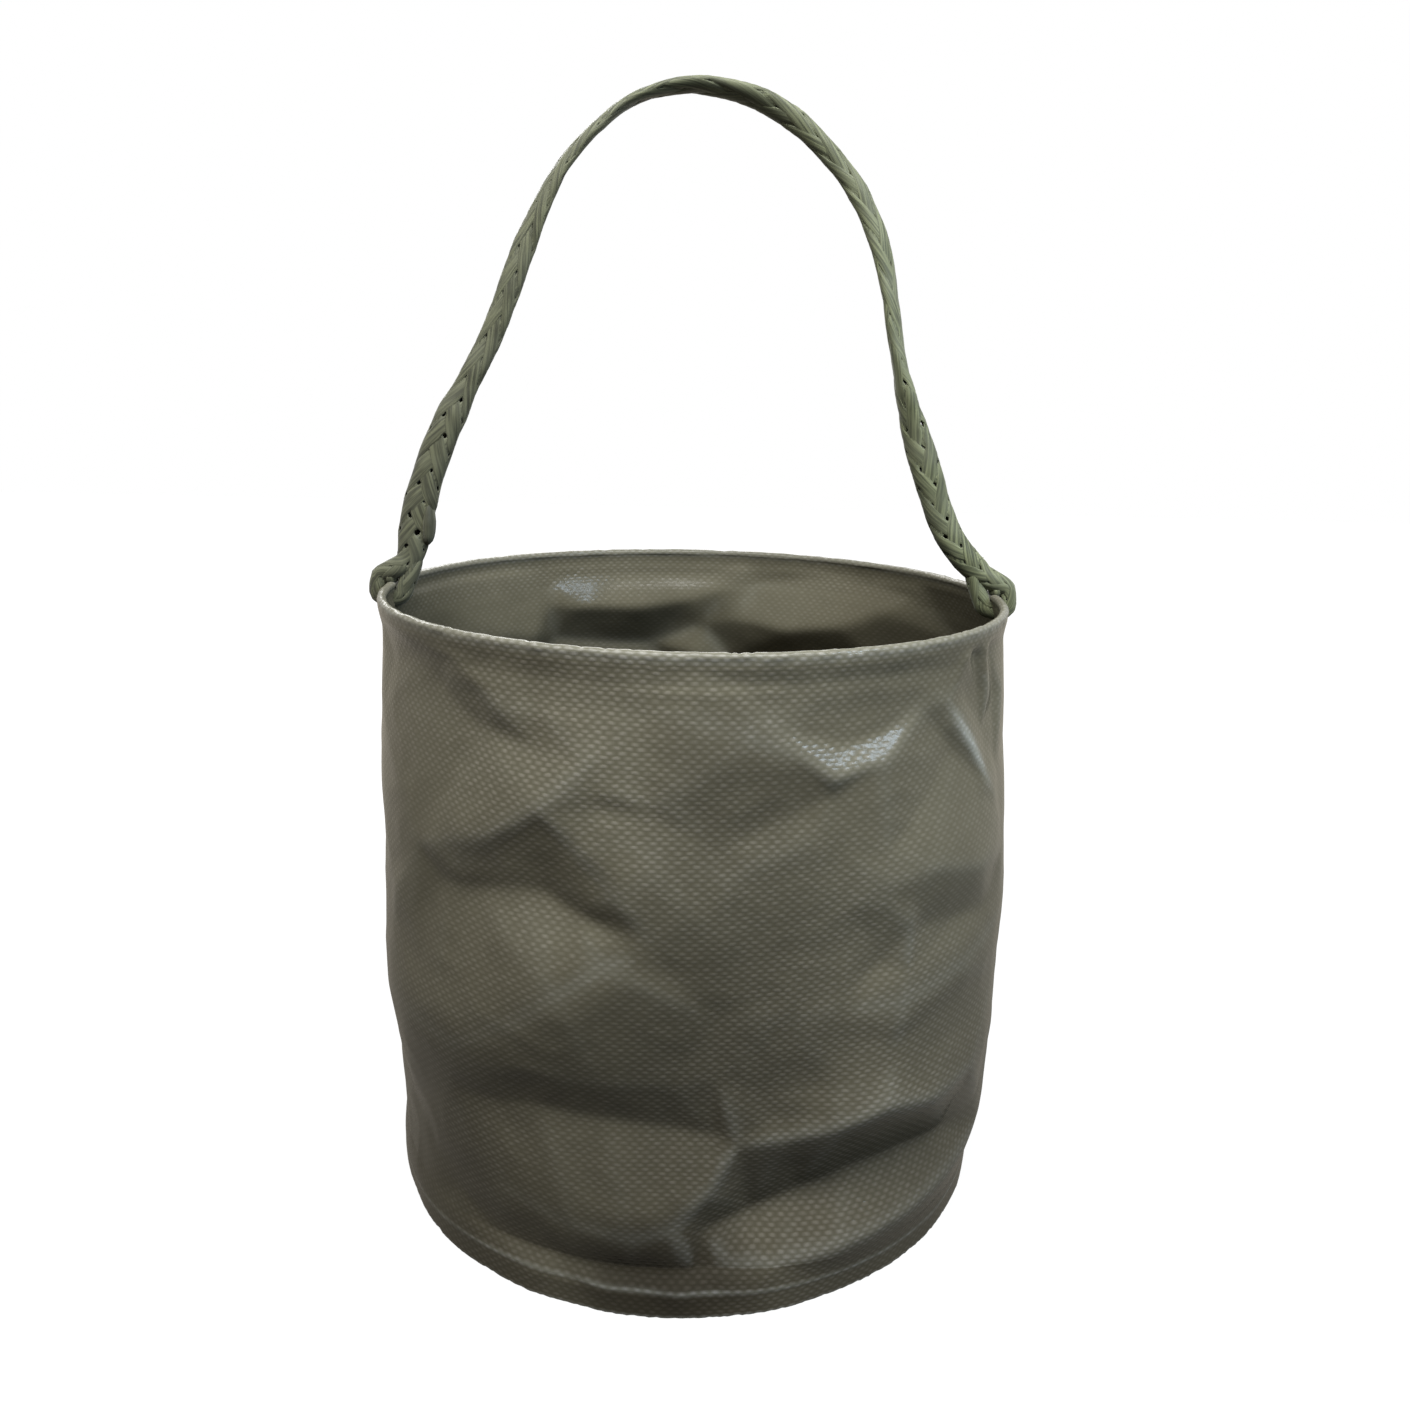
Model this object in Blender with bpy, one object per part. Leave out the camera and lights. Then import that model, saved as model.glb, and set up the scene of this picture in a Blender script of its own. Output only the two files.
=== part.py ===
"""A folding water bucket, 0.24 m across.

A wall of coated fabric is rolled into a drum and lap welded at the back. A round base of the same
fabric is set up inside the drum with its edge turned down, so that the bucket stands on the raw
edges of a short skirt. A band of fabric is folded over a wire hoop and welded to both faces of the
wall's top edge. A braided rope handle has an eye spliced at each end, which goes round the rim and
through a hole punched just under it.

Metres, +Z up. The origin is on the floor, under the middle of the bucket. +X is to the right and
the lap weld is at the back, at +Y.
"""

import math

import bmesh
import bpy
from mathutils import Vector

# Overall sizes
HOOP_RADIUS = 0.120
HOOP_HEIGHT = 0.2334
BASE_RADIUS = 0.1235
WALL_BULGE = 0.0043

# Fabric
FABRIC_THICKNESS = 0.0005
FIT_GAP = 0.0003
LAP_WIDTH = 0.018

# Base
SKIRT_HEIGHT = 0.017
BASE_CORNER_RADIUS = 0.0012

# Rim
WIRE_RADIUS = 0.0009
BEAD_CLEARANCE = 0.0003
BAND_THICKNESS = 0.00045
BAND_DEPTH = 0.018
WALL_TOP_BELOW_HOLE = 0.0028

# Rope
ROPE_RADIUS = 0.0040
SPLICE_RADIUS = 0.0055
STRAND_RADIUS = 0.0030
STRAND_CLEARANCE = 0.0007
HOLE_CLEARANCE = 0.0005
THROAT_RADIUS = 0.0036
PIVOT_RISE = 0.0102
SPLICE_START = 0.012
SPLICE_LENGTH = 0.060
SPLICE_TAPER = 0.012

# Fineness of the round shapes
RING_STEPS = 96
WIRE_SIDES = 8
BEAD_STEPS = 8
CORNER_STEPS = 3
WALL_ROWS = 9
HOLE_SIDES = 24
EYE_STEPS = 28
EYE_SIDES = 10
ROPE_SPACING = 0.014
ROUTE_SAMPLES = 24
ROUND_END_STEPS = 3
MERGE_DISTANCE = 0.00001
CREASE_ANGLE = math.radians(40)

# Worked out from the sizes above
BEAD_INNER_RADIUS = WIRE_RADIUS + BEAD_CLEARANCE
BEAD_RADIUS = BEAD_INNER_RADIUS + BAND_THICKNESS
FLAP_INNER = FABRIC_THICKNESS / 2 + FIT_GAP
FLAP_OUTER = FLAP_INNER + BAND_THICKNESS
EYE_RADIUS = BEAD_RADIUS + STRAND_CLEARANCE + STRAND_RADIUS
HOLE_RADIUS = STRAND_RADIUS + HOLE_CLEARANCE
HOLE_DROP = EYE_RADIUS
BAND_BOTTOM = HOOP_HEIGHT - BAND_DEPTH
WALL_TOP = HOOP_HEIGHT - HOLE_DROP - HOLE_RADIUS - WALL_TOP_BELOW_HOLE
PIVOT_DISTANCE = EYE_RADIUS + STRAND_RADIUS + FIT_GAP + THROAT_RADIUS
PIVOT_INSET = math.sqrt(PIVOT_DISTANCE ** 2 - PIVOT_RISE ** 2)
PIVOT_X = HOOP_RADIUS - PIVOT_INSET
PIVOT_HEIGHT = HOOP_HEIGHT + PIVOT_RISE

# The rope's way from the left pivot to the right one: how far across, as a share of the pivots'
# distance from the middle, and how high above them
ROPE_ROUTE = [
    (-1.000, 0.0000),
    (-0.962, 0.0172),
    (-0.915, 0.0342),
    (-0.853, 0.0509),
    (-0.775, 0.0674),
    (-0.697, 0.0835),
    (-0.637, 0.0992),
    (-0.583, 0.1147),
    (-0.521, 0.1299),
    (-0.444, 0.1448),
    (-0.330, 0.1590),
    (-0.200, 0.1672),
    (-0.035, 0.1705),
    (0.140, 0.1680),
    (0.275, 0.1612),
    (0.370, 0.1530),
    (0.475, 0.1410),
    (0.540, 0.1300),
    (0.590, 0.1179),
    (0.626, 0.1027),
    (0.654, 0.0871),
    (0.689, 0.0712),
    (0.735, 0.0551),
    (0.790, 0.0386),
    (0.848, 0.0218),
    (0.910, 0.0100),
    (1.000, 0.0000),
]


def clear_scene():
    for thing in list(bpy.data.objects):
        bpy.data.objects.remove(thing, do_unlink=True)


def make_finish(name, colour, roughness, metallic=0.0):
    """A plain material with the piece's colour, roughness and metallic value."""
    material = bpy.data.materials.new(name)
    material.use_nodes = True
    shader = material.node_tree.nodes["Principled BSDF"]
    shader.inputs["Base Color"].default_value = (*colour, 1.0)
    shader.inputs["Roughness"].default_value = roughness
    shader.inputs["Metallic"].default_value = metallic
    return material


def add_object(name, data, material):
    thing = bpy.data.objects.new(name, data)
    bpy.context.scene.collection.objects.link(thing)
    data.materials.append(material)
    return thing


def finish_mesh(name, shape, material):
    """Turn a bmesh into a named object with its faces pointing out and its round faces smooth."""
    bmesh.ops.remove_doubles(shape, verts=shape.verts, dist=MERGE_DISTANCE)
    bmesh.ops.recalc_face_normals(shape, faces=shape.faces)
    data = bpy.data.meshes.new(name)
    shape.to_mesh(data)
    shape.free()
    data.shade_smooth()
    data.set_sharp_from_angle(angle=CREASE_ANGLE)
    return add_object(name, data, material)


def turn_outline(name, outline, material, closed=True):
    """Turn an outline of (radius, height) points once round the Z axis."""
    shape = bmesh.new()
    points = [shape.verts.new((radius, 0.0, height)) for radius, height in outline]
    pairs = list(zip(points, points[1:]))
    if closed:
        pairs.append((points[-1], points[0]))
    edges = [shape.edges.new(pair) for pair in pairs]
    bmesh.ops.spin(
        shape,
        geom=points + edges,
        cent=(0.0, 0.0, 0.0),
        axis=(0.0, 0.0, 1.0),
        angle=math.tau,
        steps=RING_STEPS,
        use_merge=True,
    )
    return finish_mesh(name, shape, material)


def arc_points(centre, radius, start, end, steps):
    """Points along an arc, with the angles in radians from +X towards +Z."""
    points = []
    for step in range(steps + 1):
        angle = start + (end - start) * step / steps
        points.append((centre[0] + radius * math.cos(angle), centre[1] + radius * math.sin(angle)))
    return points


def wall_radius(height):
    """The radius of the middle of the wall's thickness: bulged, and upright inside the band."""
    share = min(height / BAND_BOTTOM, 1.0)
    straight = BASE_RADIUS + (HOOP_RADIUS - BASE_RADIUS) * share
    return straight + WALL_BULGE * math.sin(math.pi * share)


def wall_outline(inner_offset, outer_offset, bottom, top):
    """The section of a skin that follows the wall between two heights."""
    heights = [bottom + (min(top, BAND_BOTTOM) - bottom) * row / WALL_ROWS for row in range(WALL_ROWS + 1)]
    if top > BAND_BOTTOM:
        heights.append(top)
    outer = [(wall_radius(height) + outer_offset, height) for height in heights]
    inner = [(wall_radius(height) + inner_offset, height) for height in reversed(heights)]
    return outer + inner


def cut_to_sector(shape, half_angle):
    """Keep only the part of a turned shape within an angle of +Y, and close the two cuts."""
    for side in (-1, 1):
        normal = Vector((side * math.cos(half_angle), -math.sin(half_angle), 0.0))
        everything = shape.verts[:] + shape.edges[:] + shape.faces[:]
        cut = bmesh.ops.bisect_plane(
            shape, geom=everything, plane_co=(0.0, 0.0, 0.0), plane_no=normal, clear_outer=True
        )
        rim_edges = [piece for piece in cut["geom_cut"] if isinstance(piece, bmesh.types.BMEdge)]
        bmesh.ops.holes_fill(shape, edges=rim_edges)


def use_as_tool(target, tool, operation):
    """Cut or join with another object, which is then only a guide and not a piece."""
    modifier = target.modifiers.new(tool.name, "BOOLEAN")
    modifier.operation = operation
    modifier.solver = "EXACT"
    modifier.object = tool
    tool.hide_render = True
    tool.display_type = "WIRE"


def make_wall_panel(fabric):
    """The drum of coated fabric, with its overlap welded into one at the back."""
    half = FABRIC_THICKNESS / 2
    wall = turn_outline("wall_panel", wall_outline(-half, half, 0.0, WALL_TOP), fabric)
    lap_outline = wall_outline(0.0, half + FABRIC_THICKNESS, SKIRT_HEIGHT, BAND_BOTTOM - FIT_GAP)
    lap = turn_outline("lap_guide", lap_outline, fabric)
    shape = bmesh.new()
    shape.from_mesh(lap.data)
    cut_to_sector(shape, LAP_WIDTH / 2 / BASE_RADIUS)
    bmesh.ops.recalc_face_normals(shape, faces=shape.faces)
    shape.to_mesh(lap.data)
    shape.free()
    use_as_tool(wall, lap, "UNION")
    return wall


def make_base_panel(fabric):
    """The bucket's floor, a round sheet with its edge turned down to the ground."""
    outer = BASE_RADIUS - FABRIC_THICKNESS / 2 - FIT_GAP
    inner = outer - FABRIC_THICKNESS
    underside = SKIRT_HEIGHT - FABRIC_THICKNESS
    outer_corner = (outer - BASE_CORNER_RADIUS, SKIRT_HEIGHT - BASE_CORNER_RADIUS)
    outline = [(0.0, SKIRT_HEIGHT)]
    outline += arc_points(outer_corner, BASE_CORNER_RADIUS, math.pi / 2, 0.0, CORNER_STEPS)
    outline += [(outer, 0.0), (inner, 0.0)]
    inner_corner_radius = BASE_CORNER_RADIUS - FABRIC_THICKNESS
    outline += arc_points(outer_corner, inner_corner_radius, 0.0, math.pi / 2, CORNER_STEPS)
    outline += [(0.0, underside)]
    return turn_outline("base_panel", outline, fabric, closed=False)


def make_rim_hoop(steel):
    """The butt-welded wire ring that holds the mouth round."""
    centre = (HOOP_RADIUS, HOOP_HEIGHT)
    outline = arc_points(centre, WIRE_RADIUS, 0.0, math.tau, WIRE_SIDES)[:-1]
    return turn_outline("rim_hoop", outline, steel)


def make_rim_band(fabric):
    """The band folded over the hoop, with a flap down each face of the wall and two rope holes."""
    centre = (HOOP_RADIUS, HOOP_HEIGHT)
    outer_start = -math.acos(FLAP_OUTER / BEAD_RADIUS)
    inner_start = -math.acos(FLAP_INNER / BEAD_INNER_RADIUS)
    outline = [(HOOP_RADIUS + FLAP_OUTER, BAND_BOTTOM)]
    outline += arc_points(centre, BEAD_RADIUS, outer_start, math.pi - outer_start, BEAD_STEPS)
    outline += [(HOOP_RADIUS - FLAP_OUTER, BAND_BOTTOM), (HOOP_RADIUS - FLAP_INNER, BAND_BOTTOM)]
    outline += arc_points(centre, BEAD_INNER_RADIUS, math.pi - inner_start, inner_start, BEAD_STEPS)
    outline += [(HOOP_RADIUS + FLAP_INNER, BAND_BOTTOM)]
    band = turn_outline("rim_band", outline, fabric)
    shape = bmesh.new()
    bmesh.ops.create_cone(
        shape,
        cap_ends=True,
        segments=HOLE_SIDES,
        radius1=HOLE_RADIUS,
        radius2=HOLE_RADIUS,
        depth=2 * (HOOP_RADIUS + EYE_RADIUS),
    )
    for point in shape.verts:
        point.co = Vector((point.co.z, point.co.x, point.co.y + HOOP_HEIGHT - HOLE_DROP))
    punch = finish_mesh("hole_punch", shape, fabric)
    use_as_tool(band, punch, "DIFFERENCE")
    return band


def make_rope_eye(name, side, rope):
    """One end of the rope, a loop round the bead and through the hole under it."""
    shape = bmesh.new()
    sides = []
    for step in range(EYE_SIDES):
        angle = math.tau * step / EYE_SIDES
        reach = EYE_RADIUS + STRAND_RADIUS * math.cos(angle)
        sides.append(shape.verts.new((reach, STRAND_RADIUS * math.sin(angle), 0.0)))
    edges = [shape.edges.new(pair) for pair in zip(sides, sides[1:] + sides[:1])]
    bmesh.ops.spin(
        shape,
        geom=sides + edges,
        cent=(0.0, 0.0, 0.0),
        axis=(0.0, 1.0, 0.0),
        angle=math.tau,
        steps=EYE_STEPS,
        use_merge=True,
    )
    bmesh.ops.translate(shape, verts=shape.verts, vec=(side * HOOP_RADIUS, 0.0, HOOP_HEIGHT))
    return finish_mesh(name, shape, rope)


def smooth_route(points, spacing):
    """Even steps along a smooth curve through the given points."""
    fine = []
    ends = [points[0] * 2 - points[1]] + points + [points[-1] * 2 - points[-2]]
    for before, start, end, after in zip(ends, ends[1:], ends[2:], ends[3:]):
        for sample in range(ROUTE_SAMPLES):
            t = sample / ROUTE_SAMPLES
            bend = 2 * before - 5 * start + 4 * end - after
            twist = 3 * start - before - 3 * end + after
            fine.append(start + ((end - before) * t + bend * t ** 2 + twist * t ** 3) / 2)
    fine.append(points[-1])
    travelled = [0.0]
    for start, end in zip(fine, fine[1:]):
        travelled.append(travelled[-1] + (end - start).length)
    count = round(travelled[-1] / spacing)
    even = []
    position = 0
    for step in range(count + 1):
        target = travelled[-1] * step / count
        while position < len(fine) - 2 and travelled[position + 1] < target:
            position += 1
        length = travelled[position + 1] - travelled[position]
        even.append(fine[position].lerp(fine[position + 1], (target - travelled[position]) / length))
    return even, travelled[-1]


def rope_thickness(from_end):
    """The rope's radius at a distance from the nearer pivot: thick where the tail is buried."""
    if from_end < SPLICE_START:
        return THROAT_RADIUS + (SPLICE_RADIUS - THROAT_RADIUS) * from_end / SPLICE_START
    beyond = (from_end - SPLICE_LENGTH) / SPLICE_TAPER
    share = min(max(beyond, 0.0), 1.0)
    return SPLICE_RADIUS + (ROPE_RADIUS - SPLICE_RADIUS) * share


def round_end(pivot, inwards):
    """Points and radii of the ball on the rope's end, from its tip to just before the pivot."""
    rings = []
    for step in range(ROUND_END_STEPS):
        angle = math.pi / 2 * (step + 0.5) / (ROUND_END_STEPS + 0.5)
        back = THROAT_RADIUS * math.cos(angle)
        rings.append((pivot - inwards * back, THROAT_RADIUS * math.sin(angle)))
    return rings


def make_handle_rope(rope):
    """The rope between the two eyes, standing in an arch, with a ball end at each pivot."""
    origin = Vector((0.0, 0.0, PIVOT_HEIGHT))
    route = [Vector((share * PIVOT_X, 0.0, rise)) for share, rise in ROPE_ROUTE]
    line, length = smooth_route(route, ROPE_SPACING)
    step_length = length / (len(line) - 1)
    rings = round_end(line[0], (line[1] - line[0]).normalized())
    for step, point in enumerate(line):
        from_end = min(step, len(line) - 1 - step) * step_length
        rings.append((point, rope_thickness(from_end)))
    rings += reversed(round_end(line[-1], (line[-2] - line[-1]).normalized()))
    curve = bpy.data.curves.new("handle_rope", "CURVE")
    curve.dimensions = "3D"
    curve.resolution_u = 1
    curve.render_resolution_u = 0
    curve.bevel_depth = 1.0
    curve.bevel_resolution = 2
    curve.use_fill_caps = True
    spline = curve.splines.new("POLY")
    spline.points.add(len(rings) - 1)
    spline.use_smooth = True
    for slot, (point, radius) in zip(spline.points, rings):
        slot.co = (*point, 1.0)
        slot.radius = radius
    handle = add_object("handle_rope", curve, rope)
    handle.location = origin
    return handle


def main():
    clear_scene()
    fabric = make_finish("coated_fabric", (0.150, 0.140, 0.103), 0.35)
    band_fabric = make_finish("band_fabric", (0.240, 0.235, 0.180), 0.45)
    steel = make_finish("hoop_steel", (0.55, 0.55, 0.54), 0.35, metallic=1.0)
    rope = make_finish("braided_rope", (0.190, 0.210, 0.140), 0.75)
    make_wall_panel(fabric)
    make_base_panel(fabric)
    make_rim_hoop(steel)
    make_rim_band(band_fabric)
    make_rope_eye("left_rope_eye", -1, rope)
    make_rope_eye("right_rope_eye", 1, rope)
    make_handle_rope(rope)


main()
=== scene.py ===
# %% [markdown]
# # A folding water bucket of coated fabric
# The real bucket is a drum of glossy coated cloth with a round floor welded into it. A wire hoop in
# a folded band holds the mouth open, and a hollow braided rope is spliced round the rim at both
# ends. The CAD model gives the sizes and the motions. This lesson dresses it: every piece of cloth
# becomes a thin creased sheet, and the rope becomes eight braided strands.

# %% Load the frame
import math
import random

import bmesh
import bpy
import numpy as np
from mathutils import Matrix, Vector, geometry, noise


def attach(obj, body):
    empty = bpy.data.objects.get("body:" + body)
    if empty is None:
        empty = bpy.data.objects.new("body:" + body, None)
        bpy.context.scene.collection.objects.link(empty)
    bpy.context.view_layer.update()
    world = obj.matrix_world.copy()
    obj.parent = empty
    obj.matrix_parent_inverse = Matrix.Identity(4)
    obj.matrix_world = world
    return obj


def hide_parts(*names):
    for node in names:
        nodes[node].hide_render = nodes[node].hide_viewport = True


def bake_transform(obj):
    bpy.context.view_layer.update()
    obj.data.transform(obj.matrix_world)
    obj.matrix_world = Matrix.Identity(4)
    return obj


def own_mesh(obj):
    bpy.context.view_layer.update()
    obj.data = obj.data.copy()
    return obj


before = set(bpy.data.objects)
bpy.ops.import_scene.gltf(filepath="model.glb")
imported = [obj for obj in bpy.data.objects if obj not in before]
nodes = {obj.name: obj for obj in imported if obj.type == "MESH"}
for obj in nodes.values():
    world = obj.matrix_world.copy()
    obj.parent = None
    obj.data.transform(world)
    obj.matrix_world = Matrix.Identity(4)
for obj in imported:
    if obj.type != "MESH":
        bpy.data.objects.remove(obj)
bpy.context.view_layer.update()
print("pieces in the frame:", sorted(nodes))

# %% [markdown]
# ## The driving sizes
# These repeat the sizes that the CAD model was drawn from, in metres. The cloth, the weld and the
# rope all follow from them.

# %% Sizes
HOOP_RADIUS = 0.120
HOOP_HEIGHT = 0.2334
BASE_RADIUS = 0.1235
WALL_BULGE = 0.0043
FABRIC = 0.0005
SKIRT_HEIGHT = 0.017
BAND_BOTTOM = 0.2154
WALL_TOP = 0.22175
PIVOT_X = 0.11322
PIVOT_HEIGHT = 0.2436
MM = 0.001

# %% [markdown]
# ## The camera
# The photo was taken from close by and a little above the rim, so its perspective is strong. A
# camera placed by eye would not line up with it, so the place and the turn were fitted to the ring
# of the mouth, the lower edge and the sides. The camera's axes are built one after the other: the
# way it looks, its right hand and its up.

# %% Place the camera
CAMERA_PLACE = Vector((0.0, -0.4391, 0.3052))
CAMERA_PITCH = math.radians(15.12)
CAMERA_YAW = math.radians(0.71)
CAMERA_ROLL = math.radians(1.37)
PHOTO_PIXELS = 1410
FOCAL_PIXELS = 1109

level = math.cos(CAMERA_PITCH)
looks = Vector((math.sin(CAMERA_YAW) * level, math.cos(CAMERA_YAW) * level, -math.sin(CAMERA_PITCH)))
right_hand = Vector((math.cos(CAMERA_YAW), -math.sin(CAMERA_YAW), 0.0))
upward = right_hand.cross(looks)
rolled_right = right_hand * math.cos(CAMERA_ROLL) + upward * math.sin(CAMERA_ROLL)
rolled_up = upward * math.cos(CAMERA_ROLL) - right_hand * math.sin(CAMERA_ROLL)

bpy.ops.object.camera_add(location=CAMERA_PLACE)
camera = bpy.context.object
camera.name = "camera"
turn = Matrix((rolled_right, rolled_up, -looks)).transposed()
camera.rotation_euler = turn.to_euler()
camera.data.sensor_width = 36.0
camera.data.lens = FOCAL_PIXELS / PHOTO_PIXELS * camera.data.sensor_width
camera.data.clip_start = 0.01
bpy.context.scene.camera = camera
print("lens in mm:", round(camera.data.lens, 2))

# %% [markdown]
# ## The rope's route
# The rope is one piece. It starts inside its own left splice, goes down inside the rim, out
# through the hole under the bead, up over the bead, along the arch and round the right side of the
# rim in the same way. The arch is drawn through listed points, as in the CAD model: how far
# across, as a share of the pivot's distance from the middle, and how high above the pivot. A
# Blender curve could draw the same line. Plain points are used, because the strands of the braid
# are placed round them one by one.

# %% The arch
ROPE_ROUTE = [
    (-1.000, 0.0000), (-0.962, 0.0172), (-0.915, 0.0342), (-0.853, 0.0509), (-0.775, 0.0674),
    (-0.697, 0.0835), (-0.637, 0.0992), (-0.583, 0.1147), (-0.521, 0.1299), (-0.444, 0.1448),
    (-0.330, 0.1590), (-0.200, 0.1672), (-0.035, 0.1705), (0.140, 0.1680), (0.275, 0.1612),
    (0.370, 0.1530), (0.475, 0.1410), (0.540, 0.1300), (0.590, 0.1179), (0.626, 0.1027),
    (0.654, 0.0871), (0.689, 0.0712), (0.735, 0.0551), (0.790, 0.0386), (0.848, 0.0218),
    (0.910, 0.0100), (1.000, 0.0000),
]
ROUTE_SAMPLES = 24

arch_points = [Vector((share * PIVOT_X, 0.0, PIVOT_HEIGHT + rise)) for share, rise in ROPE_ROUTE]


def smooth_line(points):
    """Fine points on a smooth curve that passes through the given ones."""
    fine = []
    ends = [points[0] * 2 - points[1]] + points + [points[-1] * 2 - points[-2]]
    for before, start, end, after in zip(ends, ends[1:], ends[2:], ends[3:]):
        for sample in range(ROUTE_SAMPLES):
            t = sample / ROUTE_SAMPLES
            bend = 2 * before - 5 * start + 4 * end - after
            twist = 3 * start - before - 3 * end + after
            fine.append(start + ((end - before) * t + bend * t ** 2 + twist * t ** 3) / 2)
    fine.append(points[-1])
    return fine


# %% [markdown]
# Each eye is a loop round the bead. Its middle line stays 5 to 7 mm from the middle of the hoop's
# wire all the way round, and both of its legs run up to the throat, where they meet.

# %% The two eyes
EYE_DEGREES = (-8, -35, -62, -90, -118, -148, -180, -208, -232)
EYE_REACHES = (0.0052, 0.0052, 0.0052, 0.0054, 0.0061, 0.0066, 0.0056, 0.0057, 0.0060)
THROAT = Vector((-PIVOT_X, 0.0, PIVOT_HEIGHT))
LEG_GAP = 0.0022


def eye_points(side):
    """The loop at one end, from its inner leg, through the hole, to just before the throat."""
    centre = Vector((-HOOP_RADIUS, 0.0, HOOP_HEIGHT))
    points = [THROAT + Vector((LEG_GAP, 0.0, 0.0060)), THROAT + Vector((LEG_GAP, 0.0, -0.0010))]
    for degrees, reach in zip(EYE_DEGREES, EYE_REACHES):
        angle = math.radians(degrees)
        points.append(centre + Vector((math.cos(angle), 0.0, math.sin(angle))) * reach)
    return [Vector((-side * point.x, 0.0, point.z)) for point in points]


def step_lengths(points):
    """The distance from each point of a line to the next."""
    return [(after - before).length for before, after in zip(points, points[1:])]


left_eye = eye_points(-1)
right_eye = list(reversed(eye_points(1)))
rope_path = smooth_line(left_eye + arch_points + right_eye)
path_steps = step_lengths(rope_path)
rope_length = sum(path_steps)
arch_length = sum(step_lengths(smooth_line(arch_points)))
loop_length = (rope_length - arch_length) / 2
right_throat = rope_length - loop_length
print("rope length in m:", round(rope_length, 4), "of which the arch is", round(arch_length, 4))

# %% [markdown]
# ## The rope's thickness and twist
# A hollow braid flattens like a ribbon, and this one twists a full turn on its way over. So its
# section is an oval with a half width, a half thickness and a turn, each given at a few places
# along the arch. The splices at both ends are thick, because the rope's tail is buried in them.
# Each eye has three sections more, given by how far they are from the throat. At the top of the
# arch the strands also ride up to 1.3 mm outside the rope's middle line, as the photo shows.

# %% Sections along the arch: share of the way, half width, half thickness, turn in degrees
ARCH_SECTIONS = [
    (0.000, 0.0052, 0.0036, 0),
    (0.022, 0.0066, 0.0040, 0),
    (0.110, 0.0062, 0.0042, 5),
    (0.143, 0.0058, 0.0037, 5),
    (0.168, 0.0046, 0.0027, 5),
    (0.290, 0.0047, 0.0023, 10),
    (0.324, 0.0045, 0.0022, 38),
    (0.364, 0.0045, 0.0022, 59),
    (0.408, 0.0046, 0.0022, 74),
    (0.446, 0.0046, 0.0021, 90),
    (0.490, 0.0047, 0.0023, 108),
    (0.536, 0.0046, 0.0023, 126),
    (0.574, 0.0044, 0.0024, 150),
    (0.605, 0.0038, 0.0025, 165),
    (0.644, 0.0039, 0.0025, 180),
    (0.705, 0.0044, 0.0025, 205),
    (0.741, 0.0044, 0.0025, 229),
    (0.777, 0.0045, 0.0028, 234),
    (0.815, 0.0047, 0.0033, 285),
    (0.854, 0.0056, 0.0037, 324),
    (0.880, 0.0059, 0.0038, 350),
    (0.960, 0.0057, 0.0040, 360),
    (1.000, 0.0052, 0.0036, 360),
]
RIDE_PLACES = (0.364, 0.408, 0.446, 0.490, 0.536, 0.644, 0.700)
RIDES_OUT = (0.0, -0.0008, 0.0005, 0.0013, 0.0009, 0.0005, 0.0)
EYE_SECTIONS = [(0.0015, 0.0046, 0.0040), (0.0075, 0.0043, 0.0039), (0.0130, 0.0036, 0.0032)]

path_xyz = np.array([tuple(point) for point in rope_path])
path_along = np.concatenate(([0.0], np.cumsum(path_steps)))
path_ahead = np.gradient(path_xyz, path_along, axis=0)
path_ahead /= np.linalg.norm(path_ahead, axis=1)[:, None]
BACKWARD = np.array((0.0, 1.0, 0.0))
path_outward = np.cross(path_ahead, BACKWARD)

sections = []
for share, half_width, half_thickness, degrees in ARCH_SECTIONS:
    place = loop_length + share * arch_length
    sections.append((place, half_width, half_thickness, math.radians(degrees)))
for before_throat, half_width, half_thickness in EYE_SECTIONS:
    sections.append((loop_length - before_throat, half_width, half_thickness, 0.0))
    sections.append((right_throat + before_throat, half_width, half_thickness, math.tau))
sections.sort()
section_places = [section[0] for section in sections]
section_values = np.array([section[1:] for section in sections])
print("sections of the rope:", len(sections))


def at_path(along, values):
    """A value of the path, such as its place, at many distances along it."""
    return np.stack([np.interp(along, path_along, values[:, axis]) for axis in range(3)], axis=-1)


def oval_point(around, along, lift):
    """Points on the rope's oval skin, moved out by lift. around is an even angle in radians."""
    uneven = 1 + np.interp(along, strand_along, lumps)
    half_width = np.interp(along, section_places, section_values[:, 0]) * uneven
    half_thickness = np.interp(along, section_places, section_values[:, 1]) * uneven
    turned = np.interp(along, section_places, section_values[:, 2])
    flatness = (half_width - half_thickness) / (half_width + half_thickness)
    angle = around + flatness / 2 * np.sin(2 * around)
    sideways = half_width * np.cos(angle)
    depth = half_thickness * np.sin(angle)
    tilt_across = np.cos(angle) / half_width
    tilt_depth = np.sin(angle) / half_thickness
    size = np.hypot(tilt_across, tilt_depth)
    sideways = sideways + lift * tilt_across / size
    depth = depth + lift * tilt_depth / size
    outward_part = sideways * np.cos(turned) - depth * np.sin(turned)
    back_part = sideways * np.sin(turned) + depth * np.cos(turned)
    rides_out = np.interp((along - loop_length) / arch_length, RIDE_PLACES, RIDES_OUT)
    outward = at_path(along, path_outward) * (outward_part + rides_out)[..., None]
    return at_path(along, path_xyz) + outward + BACKWARD * back_part[..., None]


# %% [markdown]
# ## The braid
# Eight flat strands go round the oval, four each way, and each one passes over two and under two
# of the strands that come the other way. In the splices one turn takes 50 mm, so the strands cross
# every 6 mm. Between them the rope was pulled longer and thinner, so there a turn takes 68 mm.
# The strands are wide enough to cover the rope, and their edges draw in where four of them meet.
# Where the rope is thick, small holes open there, as in the photo. A tube with a bump of a braid on
# it would be less work, but its outline would be smooth and its holes would show nothing behind
# them. So each strand is swept as a thin flat shape, which also keeps its edges crisp where it
# passes under the next.

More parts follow.
